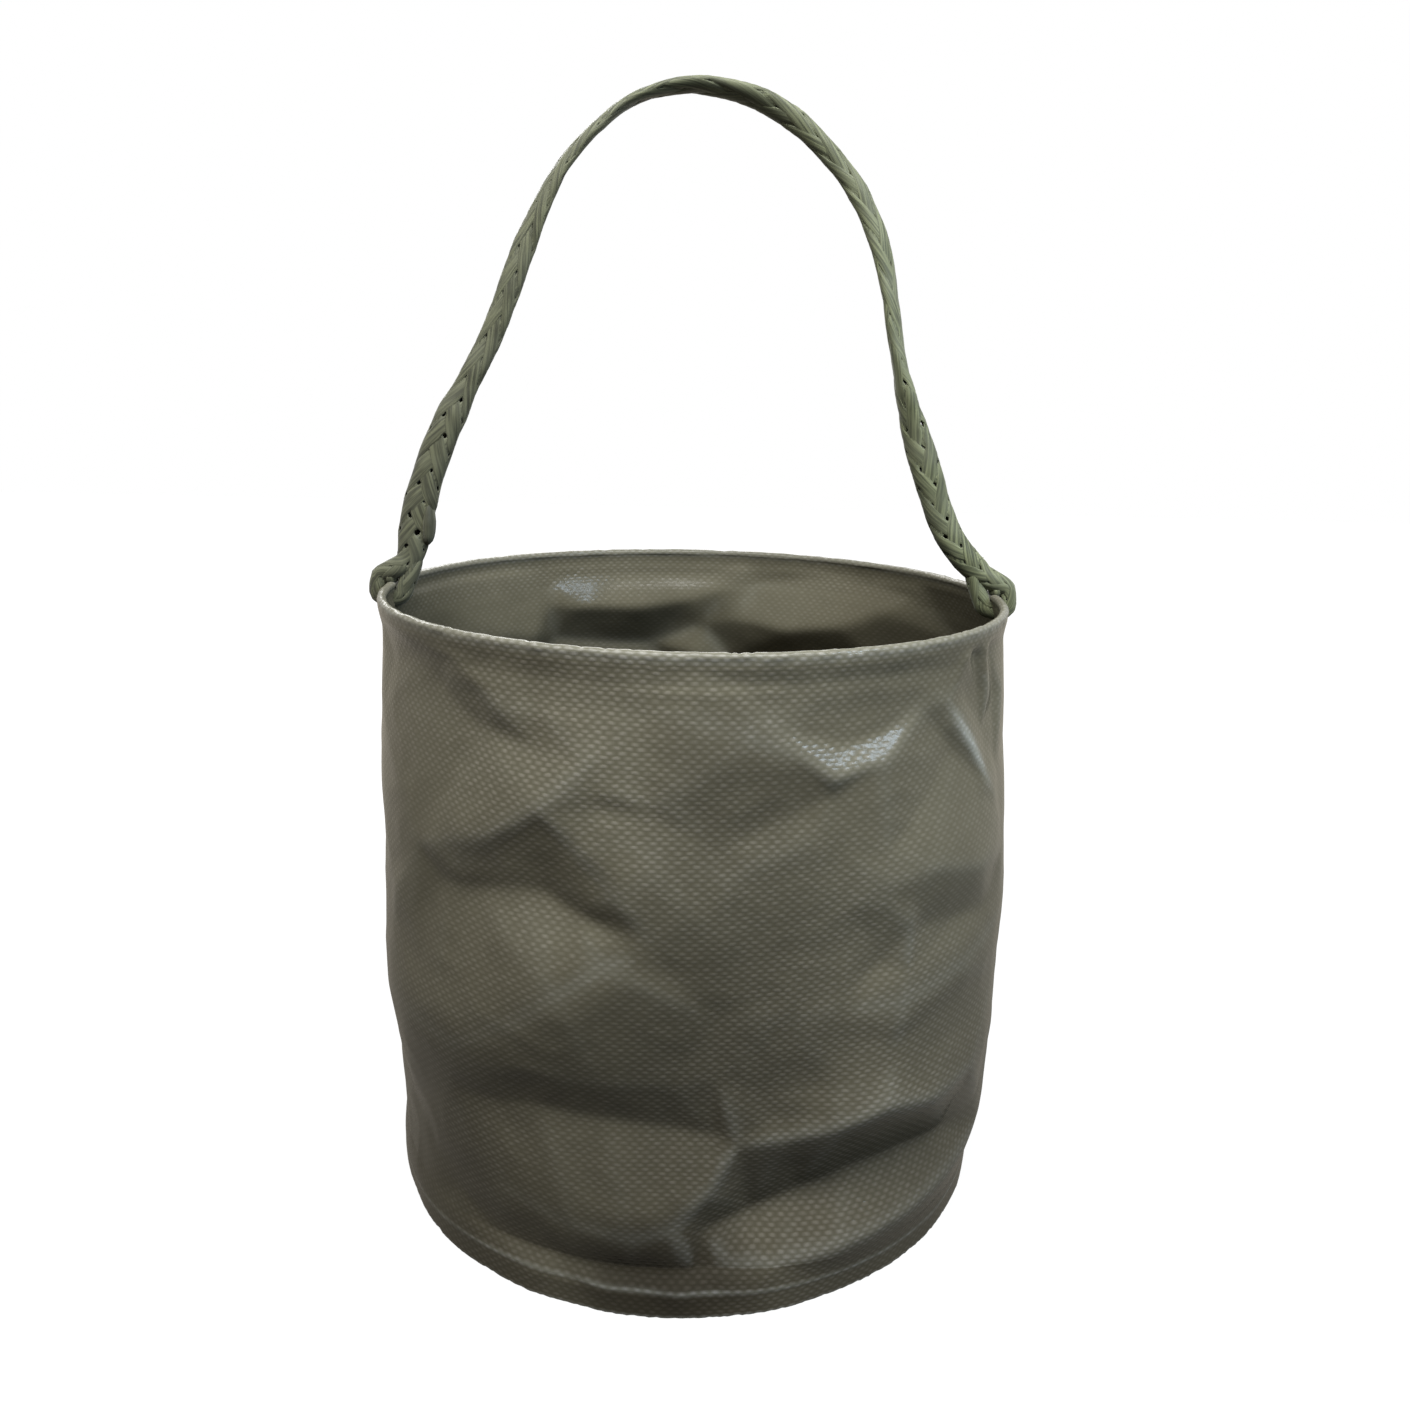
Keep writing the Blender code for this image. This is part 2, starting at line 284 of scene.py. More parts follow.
# %% The braid's sizes
SPLICE_PITCH = 0.050
PLAIN_PITCH = 0.068
PITCH_PLACES = (0.15, 0.24, 0.78, 0.87)
STRANDS_EACH_WAY = 4
CROSSINGS = 2 * STRANDS_EACH_WAY
STRAND_STEP = 0.0012
STRAND_COVER = 1.01
STRAND_THICKNESS = 0.00095
STRAND_SINK = 0.7 * STRAND_THICKNESS
STRAND_WEAVE = 0.00011
WIDTH_UNEVEN = 0.04
THICKNESS_UNEVEN = 0.12
AROUND_UNEVEN = 0.05
ROPE_UNEVEN = 0.045
NOISE_GAIN = 1.6
PLAIN_AROUND = 0.0235
SPLICE_AROUND = 0.0310
PLAIN_BITE = 0.14
SPLICE_BITE = 0.42
FLAT_STRAND = [(-1.0, 0.0), (-0.96, 0.48), (-0.84, 0.80), (-0.45, 0.96), (0.0, 1.0), (0.45, 0.96),
               (0.84, 0.80), (0.96, 0.48), (1.0, 0.0), (0.5, -0.6), (-0.5, -0.6)]

strand_along = np.linspace(0.0, rope_length, round(rope_length / STRAND_STEP) + 1)
pitches = (SPLICE_PITCH, PLAIN_PITCH, PLAIN_PITCH, SPLICE_PITCH)
pitch = np.interp(strand_along / rope_length, PITCH_PLACES, pitches)
strand_turns = np.cumsum((strand_along[1] - strand_along[0]) / pitch)


def wander(scale, seed):
    """A slow random drift along the rope, from about -1 to 1."""
    drift = [noise.noise(Vector((place / scale, seed, 0.0))) for place in strand_along]
    return np.array(drift) * NOISE_GAIN


lumps = ROPE_UNEVEN * wander(0.009, 31.0)
print("a strand turns round the rope", round(float(strand_turns[-1]), 1), "times")


# %% Sweep the strands
def near_crossing(along):
    """1 where the strands' gaps cross and a hole can open, falling to 0 between."""
    turns = np.interp(along, strand_along, strand_turns)
    return (0.5 + 0.5 * np.cos(math.tau * (CROSSINGS * turns - 0.5))) ** 3


def sweep_strand(number, way):
    """Points of one strand, as rows of the flat shape along the rope."""
    half_width = np.interp(strand_along, section_places, section_values[:, 0])
    half_thickness = np.interp(strand_along, section_places, section_values[:, 1])
    around_length = math.pi * (half_width + half_thickness)
    slope = np.arctan(around_length / pitch)
    seed = number * 3.7 + way * 11.3
    full_width = around_length * np.cos(slope) / STRANDS_EACH_WAY
    wide = STRAND_COVER * full_width * (1 + WIDTH_UNEVEN * wander(0.012, seed))
    thick = STRAND_THICKNESS * (1 + THICKNESS_UNEVEN * wander(0.010, seed + 5))
    bite = np.interp(around_length, (PLAIN_AROUND, SPLICE_AROUND), (PLAIN_BITE, SPLICE_BITE))
    bite = bite * np.clip(0.50 + wander(0.007, seed + 2), 0.0, 1.2)
    lane = number + (1 - way) / 4
    around = math.tau * (lane / STRANDS_EACH_WAY + way * strand_turns)
    around = around + AROUND_UNEVEN * wander(0.020, seed + 9)
    crossing = 2 * number + (1 - way) / 2 + way * CROSSINGS * strand_turns
    weave = way * STRAND_WEAVE * np.tanh(2.0 * np.sin(math.pi / 2 * crossing))
    rows = []
    for across, rise in FLAT_STRAND:
        edge_along = strand_along - way * across * wide / 2 * np.sin(slope)
        offset = across * wide / 2 * (1 - bite * abs(across) ** 3 * near_crossing(edge_along))
        place_around = around + offset * np.cos(slope) / around_length * math.tau
        place_along = strand_along - way * offset * np.sin(slope)
        lift = weave + rise * thick / 2 - STRAND_SINK
        rows.append(oval_point(place_around, np.clip(place_along, 0.0, rope_length), lift))
    return np.stack(rows, axis=1)


# %% [markdown]
# The strands become one mesh. Each row of the flat shape's points is joined to the next with a band
# of quads, both ends are closed, and the UV map holds metres across and along the strand, so that
# the fine lines of its fibres can follow it later. Every strand has a strip of the map to itself.

# %% Build the rope mesh
STRAND_SKIN = 0.010
rope_vertices = []
rope_faces = []
rope_uv = []


def ring_quads(rings, sides):
    """Each quad that joins a closed ring of points to the next, with its ring and its side."""
    for ring in range(rings - 1):
        for side in range(sides):
            near = ring * sides + side
            after = ring * sides + (side + 1) % sides
            yield ring, side, (near, after, after + sides, near + sides)


def add_tube(rings, width, strip):
    """Add a swept shape to the rope: rings is points by steps and sides."""
    steps, sides = rings.shape[:2]
    first = len(rope_vertices)
    rope_vertices.extend(tuple(point) for point in rings.reshape(-1, 3))
    for step, side, corners in ring_quads(steps, sides):
        rope_faces.append(tuple(first + corner for corner in corners))
        low = width * (side / sides + 2 * strip)
        high = width * ((side + 1) / sides + 2 * strip)
        near = step * STRAND_STEP
        far = (step + 1) * STRAND_STEP
        rope_uv.extend([(low, near), (high, near), (high, far), (low, far)])
    for step, order in ((0, range(sides - 1, -1, -1)), (steps - 1, range(sides))):
        rope_faces.append(tuple(first + step * sides + side for side in order))
        rope_uv.extend([(0.0, step * STRAND_STEP)] * sides)


for number in range(STRANDS_EACH_WAY):
    add_tube(sweep_strand(number, 1), STRAND_SKIN, number)
    add_tube(sweep_strand(number, -1), STRAND_SKIN, number + STRANDS_EACH_WAY)
print("points in the strands:", len(rope_vertices))

# %% [markdown]
# The rope's tail lies inside each splice. It shows only as something dark behind the holes, so a
# plain round core is enough there. At the left its cut end pokes out of the splice as a knob.

# %% The buried tails
TAIL_RADIUS = 0.0017
TAIL_SIDES = 10
TAIL_START = 0.004
TAIL_END = 0.066
TAIL_TAPER = 0.008
TAIL_SKIN = 4 * TAIL_RADIUS
TAIL_STRIP = 9


def add_tail(start, end):
    """A round core along the rope between two distances."""
    along = np.arange(start, end, STRAND_STEP)
    taper = np.clip(np.minimum(along - start, end - along) / TAIL_TAPER, 0.15, 1.0)
    reach = (TAIL_RADIUS * taper)[:, None]
    centre = at_path(along, path_xyz)
    outward = at_path(along, path_outward)
    rings = []
    for side in range(TAIL_SIDES):
        angle = math.tau * side / TAIL_SIDES
        rings.append(centre + (outward * math.cos(angle) + BACKWARD * math.sin(angle)) * reach)
    add_tube(np.stack(rings, axis=1), TAIL_SKIN, TAIL_STRIP)


add_tail(loop_length + TAIL_START, loop_length + TAIL_END)
add_tail(right_throat - TAIL_END, right_throat - TAIL_START)
print("points with the tails:", len(rope_vertices))

# %% [markdown]
# The knob is a small upright bulge with four soft ridges. A bulge of the same kind fills the gap
# between the legs of each eye, just over the bead, where the real rope is packed tight.

# %% The knob and the fill of the throats
LUMP_STEPS = 13
LUMP_RIDGE = 0.10
KNOB_PLACE = Vector((-0.1042, -0.0012, 0.2590))
KNOB_SIZE = Vector((0.0026, 0.0036, 0.0092))
KNOB_LEAN = 0.20
FILL_SIZE = Vector((0.0027, 0.0030, 0.0030))
FILL_OUT = 0.0004
FILL_UP = 0.0034


def add_lump(place, size, lean, strip):
    """An upright rounded bulge with soft ridges, as where a strand's end is tucked in."""
    rings = []
    for step in range(LUMP_STEPS):
        height = -1 + 2 * step / (LUMP_STEPS - 1)
        round_size = math.sqrt(max(1 - abs(height) ** 2.6, 0.02)) * (1 - 0.35 * max(height, 0.0))
        ring = []
        for side in range(TAIL_SIDES):
            angle = math.tau * side / TAIL_SIDES
            ridge = 1 + LUMP_RIDGE * math.cos(4 * angle)
            across = Vector((math.cos(angle) * size.x, math.sin(angle) * size.y, 0.0))
            along_lump = Vector((lean * height * size.x, 0.0, height * size.z))
            ring.append(tuple(place + across * round_size * ridge + along_lump))
        rings.append(ring)
    add_tube(np.array(rings), TAIL_SKIN, strip)


add_lump(KNOB_PLACE, KNOB_SIZE, KNOB_LEAN, TAIL_STRIP + 1)
for strip, side in ((TAIL_STRIP + 2, -1), (TAIL_STRIP + 3, 1)):
    place = Vector((side * (HOOP_RADIUS + FILL_OUT), 0.0, HOOP_HEIGHT + FILL_UP))
    add_lump(place, FILL_SIZE, 0.0, strip)
print("points in the whole rope:", len(rope_vertices))

# %% [markdown]
# All the pieces below are made by the same helper: it takes points, faces and UV corners and gives
# back a smooth mesh object. The rope's closed shells then have their normals turned outwards.

# %% Make the rope
def mesh_object(name, vertices, faces, uv):
    """A smooth mesh object at the origin with one UV map."""
    data = bpy.data.meshes.new(name)
    data.from_pydata([tuple(point) for point in vertices], [], [tuple(face) for face in faces])
    layer = data.uv_layers.new(name="UVMap")
    layer.data.foreach_set("uv", np.array(uv, dtype=np.float32).ravel())
    data.validate()
    data.shade_smooth()
    piece = bpy.data.objects.new(name, data)
    bpy.context.scene.collection.objects.link(piece)
    return piece


def point_outwards(piece):
    """Recalculate the normals so that every closed shell faces out."""
    shape = bmesh.new()
    shape.from_mesh(piece.data)
    bmesh.ops.recalc_face_normals(shape, faces=shape.faces)
    shape.to_mesh(piece.data)
    shape.free()


def triangle_count(piece):
    """How many triangles a piece has."""
    return sum(len(face.vertices) - 2 for face in piece.data.polygons)


rope = mesh_object("rope_handle", rope_vertices, rope_faces, rope_uv)
point_outwards(rope)
print("rope triangles:", triangle_count(rope))

# %% [markdown]
# ## The form of the wall
# With no creases, the wall is a drum that swells a little between the hoop and the base. Every
# sheet below starts from this form: the wall, the skirt and the flaps of the rim band. All of them
# are grids of quads with the same columns, which are closer together at the front, where the
# creases are sharp. A cylinder from the Add menu would be a start too, but its columns are all
# equally wide.

# %% Plain form
MEAN_RADIUS = 0.123
FINE_COLUMNS = 600
FRONT_REACH = 78
BACK_SKIP = 3
FINE_ANGLES = np.arange(FINE_COLUMNS) * 360 / FINE_COLUMNS

signed_angles = (FINE_ANGLES + 180) % 360 - 180
kept = (np.abs(signed_angles) <= FRONT_REACH) | (np.arange(FINE_COLUMNS) % BACK_SKIP == 0)
PICKED = np.flatnonzero(kept)
COLUMN_ANGLES = np.radians(FINE_ANGLES[PICKED])
COLUMNS = len(PICKED)
print("columns of cloth round the drum:", COLUMNS)


def plain_radius(height):
    """The drum's radius at the middle of the cloth, before any crease."""
    share = np.minimum(height / BAND_BOTTOM, 1.0)
    straight = BASE_RADIUS + (HOOP_RADIUS - BASE_RADIUS) * share
    return straight + WALL_BULGE * np.sin(math.pi * share)


# %% [markdown]
# ## The creases
# Coated cloth that has been folded away and opened again keeps its folds: flat facets that meet in
# ridges and valleys. A cloth simulation would put folds in places of its own, and these have known
# places, so they are listed one by one. Each crease is a short list of points: degrees from the
# front (positive to the right), height in mm, and mm in or out. These were read off the photo, where
# a facet that looks up is light and one that looks down is dark. The facets between them come from a
# triangulation that keeps every crease as an edge.

# %% Creases that the photo shows at the front
FRONT_CREASES = {
    "left shoulder fold, upper edge": [
        (-60, 228, 0.0), (-40, 227, 0.6), (-35, 220, 1.0), (-29, 212, 1.2), (-24, 203, 0.2)],
    "left shoulder fold, lower edge": [
        (-63, 218, -0.8), (-50, 221, -0.8), (-44, 215, -1.4), (-34, 205, -1.4), (-24, 203, 0.2)],
    "upper left ridge": [
        (-66, 164, 0.2), (-48, 158, 0.6), (-31, 170, 2.4), (-22, 183, 3.0), (-15, 199, 1.8),
        (-12, 203, 1.2)],
    "wedge step": [
        (-38, 157, 0.2), (-30, 161, -0.2), (-24, 168, -1.0), (-19, 169, -0.8), (-14, 160, -0.6)],
    "upper left valley": [
        (-48, 158, 0.6), (-42, 149, -2.0), (-36, 150, -2.6), (-27, 154, -2.8), (-22, 153, -3.2),
        (-17, 149, -3.4), (-12, 144, -3.2), (-7, 139, -1.4)],
    "wedge edge": [(-22, 183, 3.0), (-17, 171, 1.0), (-11, 157, 0.6), (-6, 144, -0.8)],
    "middle left ridge": [
        (-72, 92, -0.4), (-52, 92, 2.2), (-38, 92, 2.2), (-27, 107, 2.2), (-19, 122, 2.4),
        (-12, 133, 1.0), (-7, 139, -1.4)],
    "lower left valley": [
        (-43, 68, -1.4), (-37, 70, -2.0), (-24, 75, -3.6), (-13, 73, -5.6), (-2, 70, -7.4),
        (5, 68, -7.2), (9, 65, -4.6)],
    "left foot hollow": [(-78, 44, -1.9), (-60, 44, -3.0), (-51, 36, -2.6), (-42, 25, -2.0)],
    "left foot": [(-78, 24, -1.5), (-60, 22, -2.0), (-49, 16, -1.6)],
    "foot valley": [(-34, 17, -2.0), (-19, 14, -3.2), (-8, 13, -3.8), (3, 14, -3.6), (8, 19, -2.8)],
    "left side line": [(-56, 134, 0.6), (-51, 127, -0.1), (-48, 114, 0.1), (-42, 104, 1.6)],
    "lower right ridge": [
        (9, 65, -4.6), (17, 67, -2.6), (25, 71, 1.6), (32, 76, 4.2), (42, 71, 4.6), (53, 72, 4.0),
        (75, 70, 2.2)],
    "lower right valley": [
        (-1, 33, -1.6), (3, 30, -6.4), (12, 33, -9.8), (21, 39, -8.4), (30, 44, -6.6),
        (41, 45, -4.8), (53, 42, -2.4), (64, 44, 1.8)],
    "right foot ridge": [
        (8, 19, -2.8), (16, 18, -0.6), (26, 21, 1.6), (38, 24, 2.8), (49, 27, 3.0), (68, 30, 2.4)],
    "front edge": [(-7, 219, 0.6), (-6, 192, 0.6), (-5, 165, 0.4)],
    "small fold": [(-14, 190, 0.9), (-4, 188, 0.8)],
    "small fold, hollow": [(-13, 184, -0.4), (-4, 182, -0.4)],
    "small fold, foot": [(-11, 175, 0.3), (0, 170, -0.6)],
    "above the bright fold": [(8, 224, 0.2), (24, 223, 0.2), (38, 219, 0.2)],
    "bright fold, upper edge": [
        (11, 213, 0.2), (17, 208, -0.6), (24, 204, -1.0), (31, 207, -0.8), (38, 212, 0.0)],
    "bright fold, lower edge": [
        (11, 213, 0.2), (15, 204, 1.2), (21, 195, 2.2), (29, 199, 2.0), (38, 212, 0.0)],
    "under the bright fold": [(15, 204, 1.2), (21, 189, 0.2), (29, 199, 2.0)],
    "left of the bright fold": [(2, 214, 1.8), (9, 209, 1.9)],
    "pale fold, valley": [(5, 173, -1.1), (11, 179, -1.2), (17, 185, -1.0)],
    "pale fold": [(6, 163, -0.6), (13, 171, -0.4), (19, 178, -0.2), (23, 182, 0.2)],
    "light flank": [(23, 169, -0.2), (31, 168, 1.4)],
    "right shoulder crease, above": [(50, 213, -0.4), (57, 197, -0.2), (63, 182, 0.8)],
    "right shoulder crease": [(44, 213, 1.0), (51, 196, 1.9), (57, 180, 2.2), (62, 168, 1.9)],
    "right shoulder crease, below": [(42, 208, 0.0), (50, 190, -0.2), (54, 176, 1.4)],
    "first gather": [(49, 228, 1.3), (56, 213, -0.8)],
    "second gather": [(52, 228, -1.2), (58, 212, 1.3)],
    "third gather": [(56, 228, 1.3), (64, 208, -0.9)],
    "fourth gather": [(60, 228, -1.2), (67, 207, 1.3)],
    "right shoulder": [(42, 205, -0.6), (46, 196, -0.8)],
    "cool band, upper edge": [(31, 158, 1.8), (40, 159, 3.4), (54, 151, 3.4), (66, 148, 2.4)],
    "cool band, lower edge": [(39, 138, 0.2), (47, 135, 0.0), (57, 131, 0.8)],
    "dark lozenge, left": [(31, 150, 1.2), (29, 140, -1.0), (31, 127, -1.6)],
    "dark lozenge, right": [(36, 149, 1.8), (36, 138, 1.5), (36, 123, 1.2)],
    "right bulge": [(68, 124, 2.8), (47, 117, 3.4), (35, 113, 2.6), (25, 114, -1.4)],
    "right hollow": [(66, 98, 1.8), (49, 98, 0.4), (34, 93, 0.6), (24, 90, -2.6)],
    "centre line": [(22, 153, -1.2), (21, 144, -1.8)],
    "soft shade, upper edge": [(4, 146, -1.4), (14, 148, -1.8), (21, 144, -1.8)],
    "soft shade, lower edge": [(4, 128, -3.0), (14, 126, -3.4), (24, 124, -2.2)],
    "dark column": [(15, 113, -3.0), (18, 81, -5.2)],
    "centre fall": [(5, 115, -4.0)],
    "above the left ridge": [(-22, 214, 0.8), (-13, 213, 0.8)],
    "left side hollow": [(-66, 196, 0.2), (-60, 141, -0.2), (-60, 118, -0.2)],
    "dark brink": [(-36, 85, 0.8), (-24, 90, -0.6), (-13, 89, -2.6), (-2, 88, -4.6), (5, 90, -5.0)],
    "lower left brink": [
        (-43, 68, -1.4), (-38, 50, -1.2), (-29, 38, -0.6), (-17, 32, -0.6), (-8, 30, -0.8),
        (-1, 33, -1.6)],
    "left of the dark fold": [(-1, 33, -1.6), (4, 46, -3.4), (9, 65, -4.6)],
}
SOFT_CREASES = ("middle left ridge", "centre line", "centre fall", "right bulge", "right hollow",
                "soft shade, upper edge", "soft shade, lower edge", "dark column", "wedge step",
                "left of the bright fold", "left foot", "small fold, foot", "lower left brink")
WHITENED = ("right shoulder crease",)

# %% [markdown]
# The back of the inside shows over the front of the rim. Its creases are read in the same way,
# but seen from the inside the signs are turned round: a dent that comes in at the bottom catches
# the light above it. The rest of the wall gets a staggered pattern of dents, the way a soft drum
# collapses, moved about at random from a fixed seed.

# %% Creases inside, and round the back
INSIDE_CREASES = {
    "left brink": [(216, 224, 0.0), (193, 223, 0.0), (174, 223, 0.0)],
    "left dent": [
        (216, 210, -2.0), (211, 208, -4.2), (193, 207, -5.6), (181, 211, -4.6), (172, 216, -2.5)],
    "left dent, foot": [(214, 192, 1.5), (203, 188, 3.0), (190, 186, 3.5)],
    "between the dents": [(178, 197, -1.0), (179, 182, -4.5)],
    "right brink": [(164, 220, 0.0), (146, 226, 0.0), (130, 224, 0.0)],
    "right dent": [(170, 201, -3.5), (156, 198, -7.0), (141, 203, -6.5), (130, 213, -3.0)],
    "right dent, foot": [(172, 180, 2.0), (152, 176, 2.5), (132, 182, 2.5)],
    "far right hollow": [(122, 222, 0.2), (112, 206, 4.4), (98, 206, 3.6)],
    "far left dent": [(246, 212, -2.4), (232, 200, -5.0), (221, 196, -4.6)],
}
SIDE_SHAPE = [
    (-90, 190, -0.6), (-90, 150, -3.2), (-90, 116, -2.8), (-90, 99, -2.2), (-75, 60, -3.0),
    (-92, 63, -3.6), (-92, 44, -2.4), (-92, 24, -2.0), (90, 190, 0.6), (90, 150, 1.2),
    (90, 116, 2.6), (92, 99, 2.6), (90, 63, 2.5), (90, 44, 3.0),
]
BACK_ROWS = [42, 78, 114, 150]
BACK_COLUMNS = 6
BACK_START = 112
BACK_SPACING = 27
BACK_DEPTH = 3.4
BACK_SHIFT_DEGREES = 6
BACK_SHIFT_HEIGHT = 9

crease_random = random.Random(12)
back_points = []
for row, height in enumerate(BACK_ROWS):
    for column in range(BACK_COLUMNS):
        spaces = column + 0.5 * (row % 2)
        shift = crease_random.uniform(-BACK_SHIFT_DEGREES, BACK_SHIFT_DEGREES)
        degrees = BACK_START + spaces * BACK_SPACING + shift
        inward = 1 if (row + column) % 2 else -1
        depth = inward * BACK_DEPTH * crease_random.uniform(0.6, 1.1)
        lifted = crease_random.uniform(-BACK_SHIFT_HEIGHT, BACK_SHIFT_HEIGHT)
        back_points.append((degrees, height + lifted, depth))
print("creases placed by hand:", len(FRONT_CREASES) + len(INSIDE_CREASES))
print("random dents at the back:", len(back_points))

# %% [markdown]
# The triangulation works on the wall unrolled flat, in mm. The wall closes on itself, so every
# point is repeated one turn to the left and one to the right. Then each point of a fine grid takes
# its depth from the triangle that it falls in.

# %% Unroll, triangulate and read the depths
MM_PER_DEGREE = MEAN_RADIUS / MM * math.tau / 360
WALL_ROWS = 131
FIELD_ROWS = 180
WELD_LEVEL = 8.0
FIELD_TOP = 231.0
EDGE_STEP = 12

wall_rows = np.linspace(SKIRT_HEIGHT, WALL_TOP, WALL_ROWS + 1)
field_heights = np.linspace(0.0, FIELD_TOP, FIELD_ROWS)


def crease_network():
    """The points and edges of the whole unrolled crease pattern, over three turns."""
    points = []
    edges = []
    found = {}

    def keep(degrees, height, depth, turns):
        """The number of a point, which is added where it is new."""
        key = (round(degrees + 360 * turns, 3), round(height, 3))
        if key not in found:
            found[key] = len(points)
            points.append((key[0] * MM_PER_DEGREE, key[1], depth))
        return found[key]

    for turns in (-1, 0, 1):
        for line in list(FRONT_CREASES.values()) + list(INSIDE_CREASES.values()):
            numbers = [keep(*point, turns) for point in line]
            edges.extend(zip(numbers, numbers[1:]))
        for point in SIDE_SHAPE + back_points:
            keep(*point, turns)
        for degrees in range(-180, 180, EDGE_STEP):
            for height in (0.0, WELD_LEVEL, FIELD_TOP):
                keep(degrees, height, 0.0, turns)
    return points, edges


def read_depths():
    """The depth of every grid point, in mm, from the flat facets."""
    points, edges = crease_network()
    flat = [Vector((x, y)) for x, y, depth in points]
    result = geometry.delaunay_2d_cdt(flat, edges, [], 0, 0.001)
    corners, triangles, origins = result[0], result[2], result[3]
    depth_of = []
    for place, sources in zip(corners, origins):
        if sources:
            depth_of.append(points[sources[0]][2])
        else:
            nearest = min(points, key=lambda point: (point[0] - place.x) ** 2
                          + (point[1] - place.y) ** 2)
            depth_of.append(nearest[2])
    x_grid, y_grid = np.meshgrid(FINE_ANGLES * MM_PER_DEGREE, field_heights)
    depths = np.zeros_like(x_grid)
    for a, b, c in triangles:
        ax, ay = corners[a]
        bx, by = corners[b]
        cx, cy = corners[c]
        size = (bx - ax) * (cy - ay) - (cx - ax) * (by - ay)
        if abs(size) < 1e-9:
            continue
        low_x, high_x = min(ax, bx, cx), max(ax, bx, cx)
        if high_x < 0 or low_x > 360 * MM_PER_DEGREE:
            continue
        share_b = ((x_grid - ax) * (cy - ay) - (cx - ax) * (y_grid - ay)) / size
        share_c = ((bx - ax) * (y_grid - ay) - (x_grid - ax) * (by - ay)) / size
        inside = (share_b >= -1e-6) & (share_c >= -1e-6) & (share_b + share_c <= 1 + 1e-6)
        depth = depth_of[a]
        mixed = depth + share_b * (depth_of[b] - depth) + share_c * (depth_of[c] - depth)
        depths[inside] = mixed[inside]
    return depths


# %% [markdown]
# Real facets are not quite flat, and their creases are not knife sharp. So the flat depths are
# mixed with a softened copy, and everything is rounded by a millimetre or so. A few creases are
# really soft rolls, so near those the softer copy takes over. The sharpest crests are also marked,
# because the coating there is rubbed pale. The band of the bright fold is marked too, and is
# painted a little paler there as a highlight.

# %% Helpers: a bell curve, a blur, and the closeness to a crease
BLUR_REACH = 2.5


def bell(values, middle, width):
    """1 at the middle value, falling away smoothly on both sides."""
    return np.exp(-((values - middle) / width) ** 2)


def blur_weights(radius, step):
    """Bell-shaped weights for a blur, and how many grid steps they reach."""
    reach = int(math.ceil(radius * BLUR_REACH / step))
    return reach, np.exp(-0.5 * (np.arange(-reach, reach + 1) * step / radius) ** 2)


def soften(depths, radius):
    """Blur a depth grid by a distance in mm, up and down and then round the drum."""
    count = len(depths)
    reach, weights = blur_weights(radius, field_heights[1] - field_heights[0])
    padded = np.pad(depths, ((reach, reach), (0, 0)), mode="edge")
    rows = sum(weight * padded[i:i + count] for i, weight in enumerate(weights))
    rows = rows / weights.sum()
    reach, weights = blur_weights(radius, 360 / FINE_COLUMNS * MM_PER_DEGREE)
    columns = sum(weight * np.roll(rows, i - reach, axis=1) for i, weight in enumerate(weights))
    return columns / weights.sum()


def near_creases(names, reach):
    """1 on the named creases, fading to 0 over a reach in millimetres."""
    x_grid, y_grid = np.meshgrid(signed_angles * MM_PER_DEGREE, field_heights)
    nearest = np.full_like(x_grid, 1e6)
    for name in names:
        line = [(degrees * MM_PER_DEGREE, height) for degrees, height, depth in FRONT_CREASES[name]]
        for (ax, ay), (bx, by) in zip(line, line[1:]):
            run, rise = bx - ax, by - ay
            size = run ** 2 + rise ** 2
            share = np.clip(((x_grid - ax) * run + (y_grid - ay) * rise) / size, 0.0, 1.0)
            away = np.hypot(x_grid - ax - share * run, y_grid - ay - share * rise)
            nearest = np.minimum(nearest, away)
    return bell(nearest, 0.0, reach)


# %% Soften the facets
SHARP_ROUNDING = 1.2
SOFT_ROUNDING = 6.0
SOFT_SHARE = 0.20
ROLL_ROUNDING = 8.0
ROLL_REACH = 10.0
CREASE_GAIN = 1.5

flat_depths = read_depths()
rounded = soften(flat_depths, SHARP_ROUNDING)
crisp = rounded * (1 - SOFT_SHARE) + soften(flat_depths, SOFT_ROUNDING) * SOFT_SHARE
rolled = near_creases(SOFT_CREASES, ROLL_REACH)
crumpled = CREASE_GAIN * (crisp * (1 - rolled) + soften(flat_depths, ROLL_ROUNDING) * rolled)
deepest, highest = float(crumpled.min()), float(crumpled.max())
print("creases go in and out by", round(deepest, 2), "to", round(highest, 2), "mm")

# %% Mark the crests where the coating is rubbed, and the bright fold's painted highlight
CREST_ROUNDING = 3.5
CREST_RISE = 0.35
CREST_RUBBED = 0.12
WHITENED_RUBBED = 1.10
WHITENED_REACH = 1.7
WHITENED_HEIGHT = 195
WHITENED_FADE = 14
HIGHLIGHT_BAND_REACH = 7.0
PAINTED_HIGHLIGHT_SHARE = 0.06

rubbed_crests_and_highlight = np.clip((rounded - soften(flat_depths, CREST_ROUNDING)) / CREST_RISE, 0.0, 1.0)
whitened = WHITENED_RUBBED * near_creases(WHITENED, WHITENED_REACH)
whitened_fade = bell(field_heights, WHITENED_HEIGHT, WHITENED_FADE)
rubbed_crests_and_highlight *= CREST_RUBBED + whitened * whitened_fade[:, None]
# The bright fold's band is painted a little paler, as a highlight.
painted_highlight_band = near_creases(("bright fold, upper edge",), HIGHLIGHT_BAND_REACH)
painted_highlight_band = painted_highlight_band * near_creases(("bright fold, lower edge",), HIGHLIGHT_BAND_REACH)
rubbed_crests_and_highlight = np.clip(np.maximum(rubbed_crests_and_highlight, PAINTED_HIGHLIGHT_SHARE * painted_highlight_band), 0.0, 1.0)
print("rubbed share of the cloth:", round(float(rubbed_crests_and_highlight.mean()), 4))

# %% [markdown]
# Finer things go on top: shallow waves that no crease list holds, the puckers that the stiff hoop
# gathers under the bead, the soft roll of cloth just below the hollow there, and a dent in the left
# of the base. The creases and waves die away under the bead, and partly at the weld.

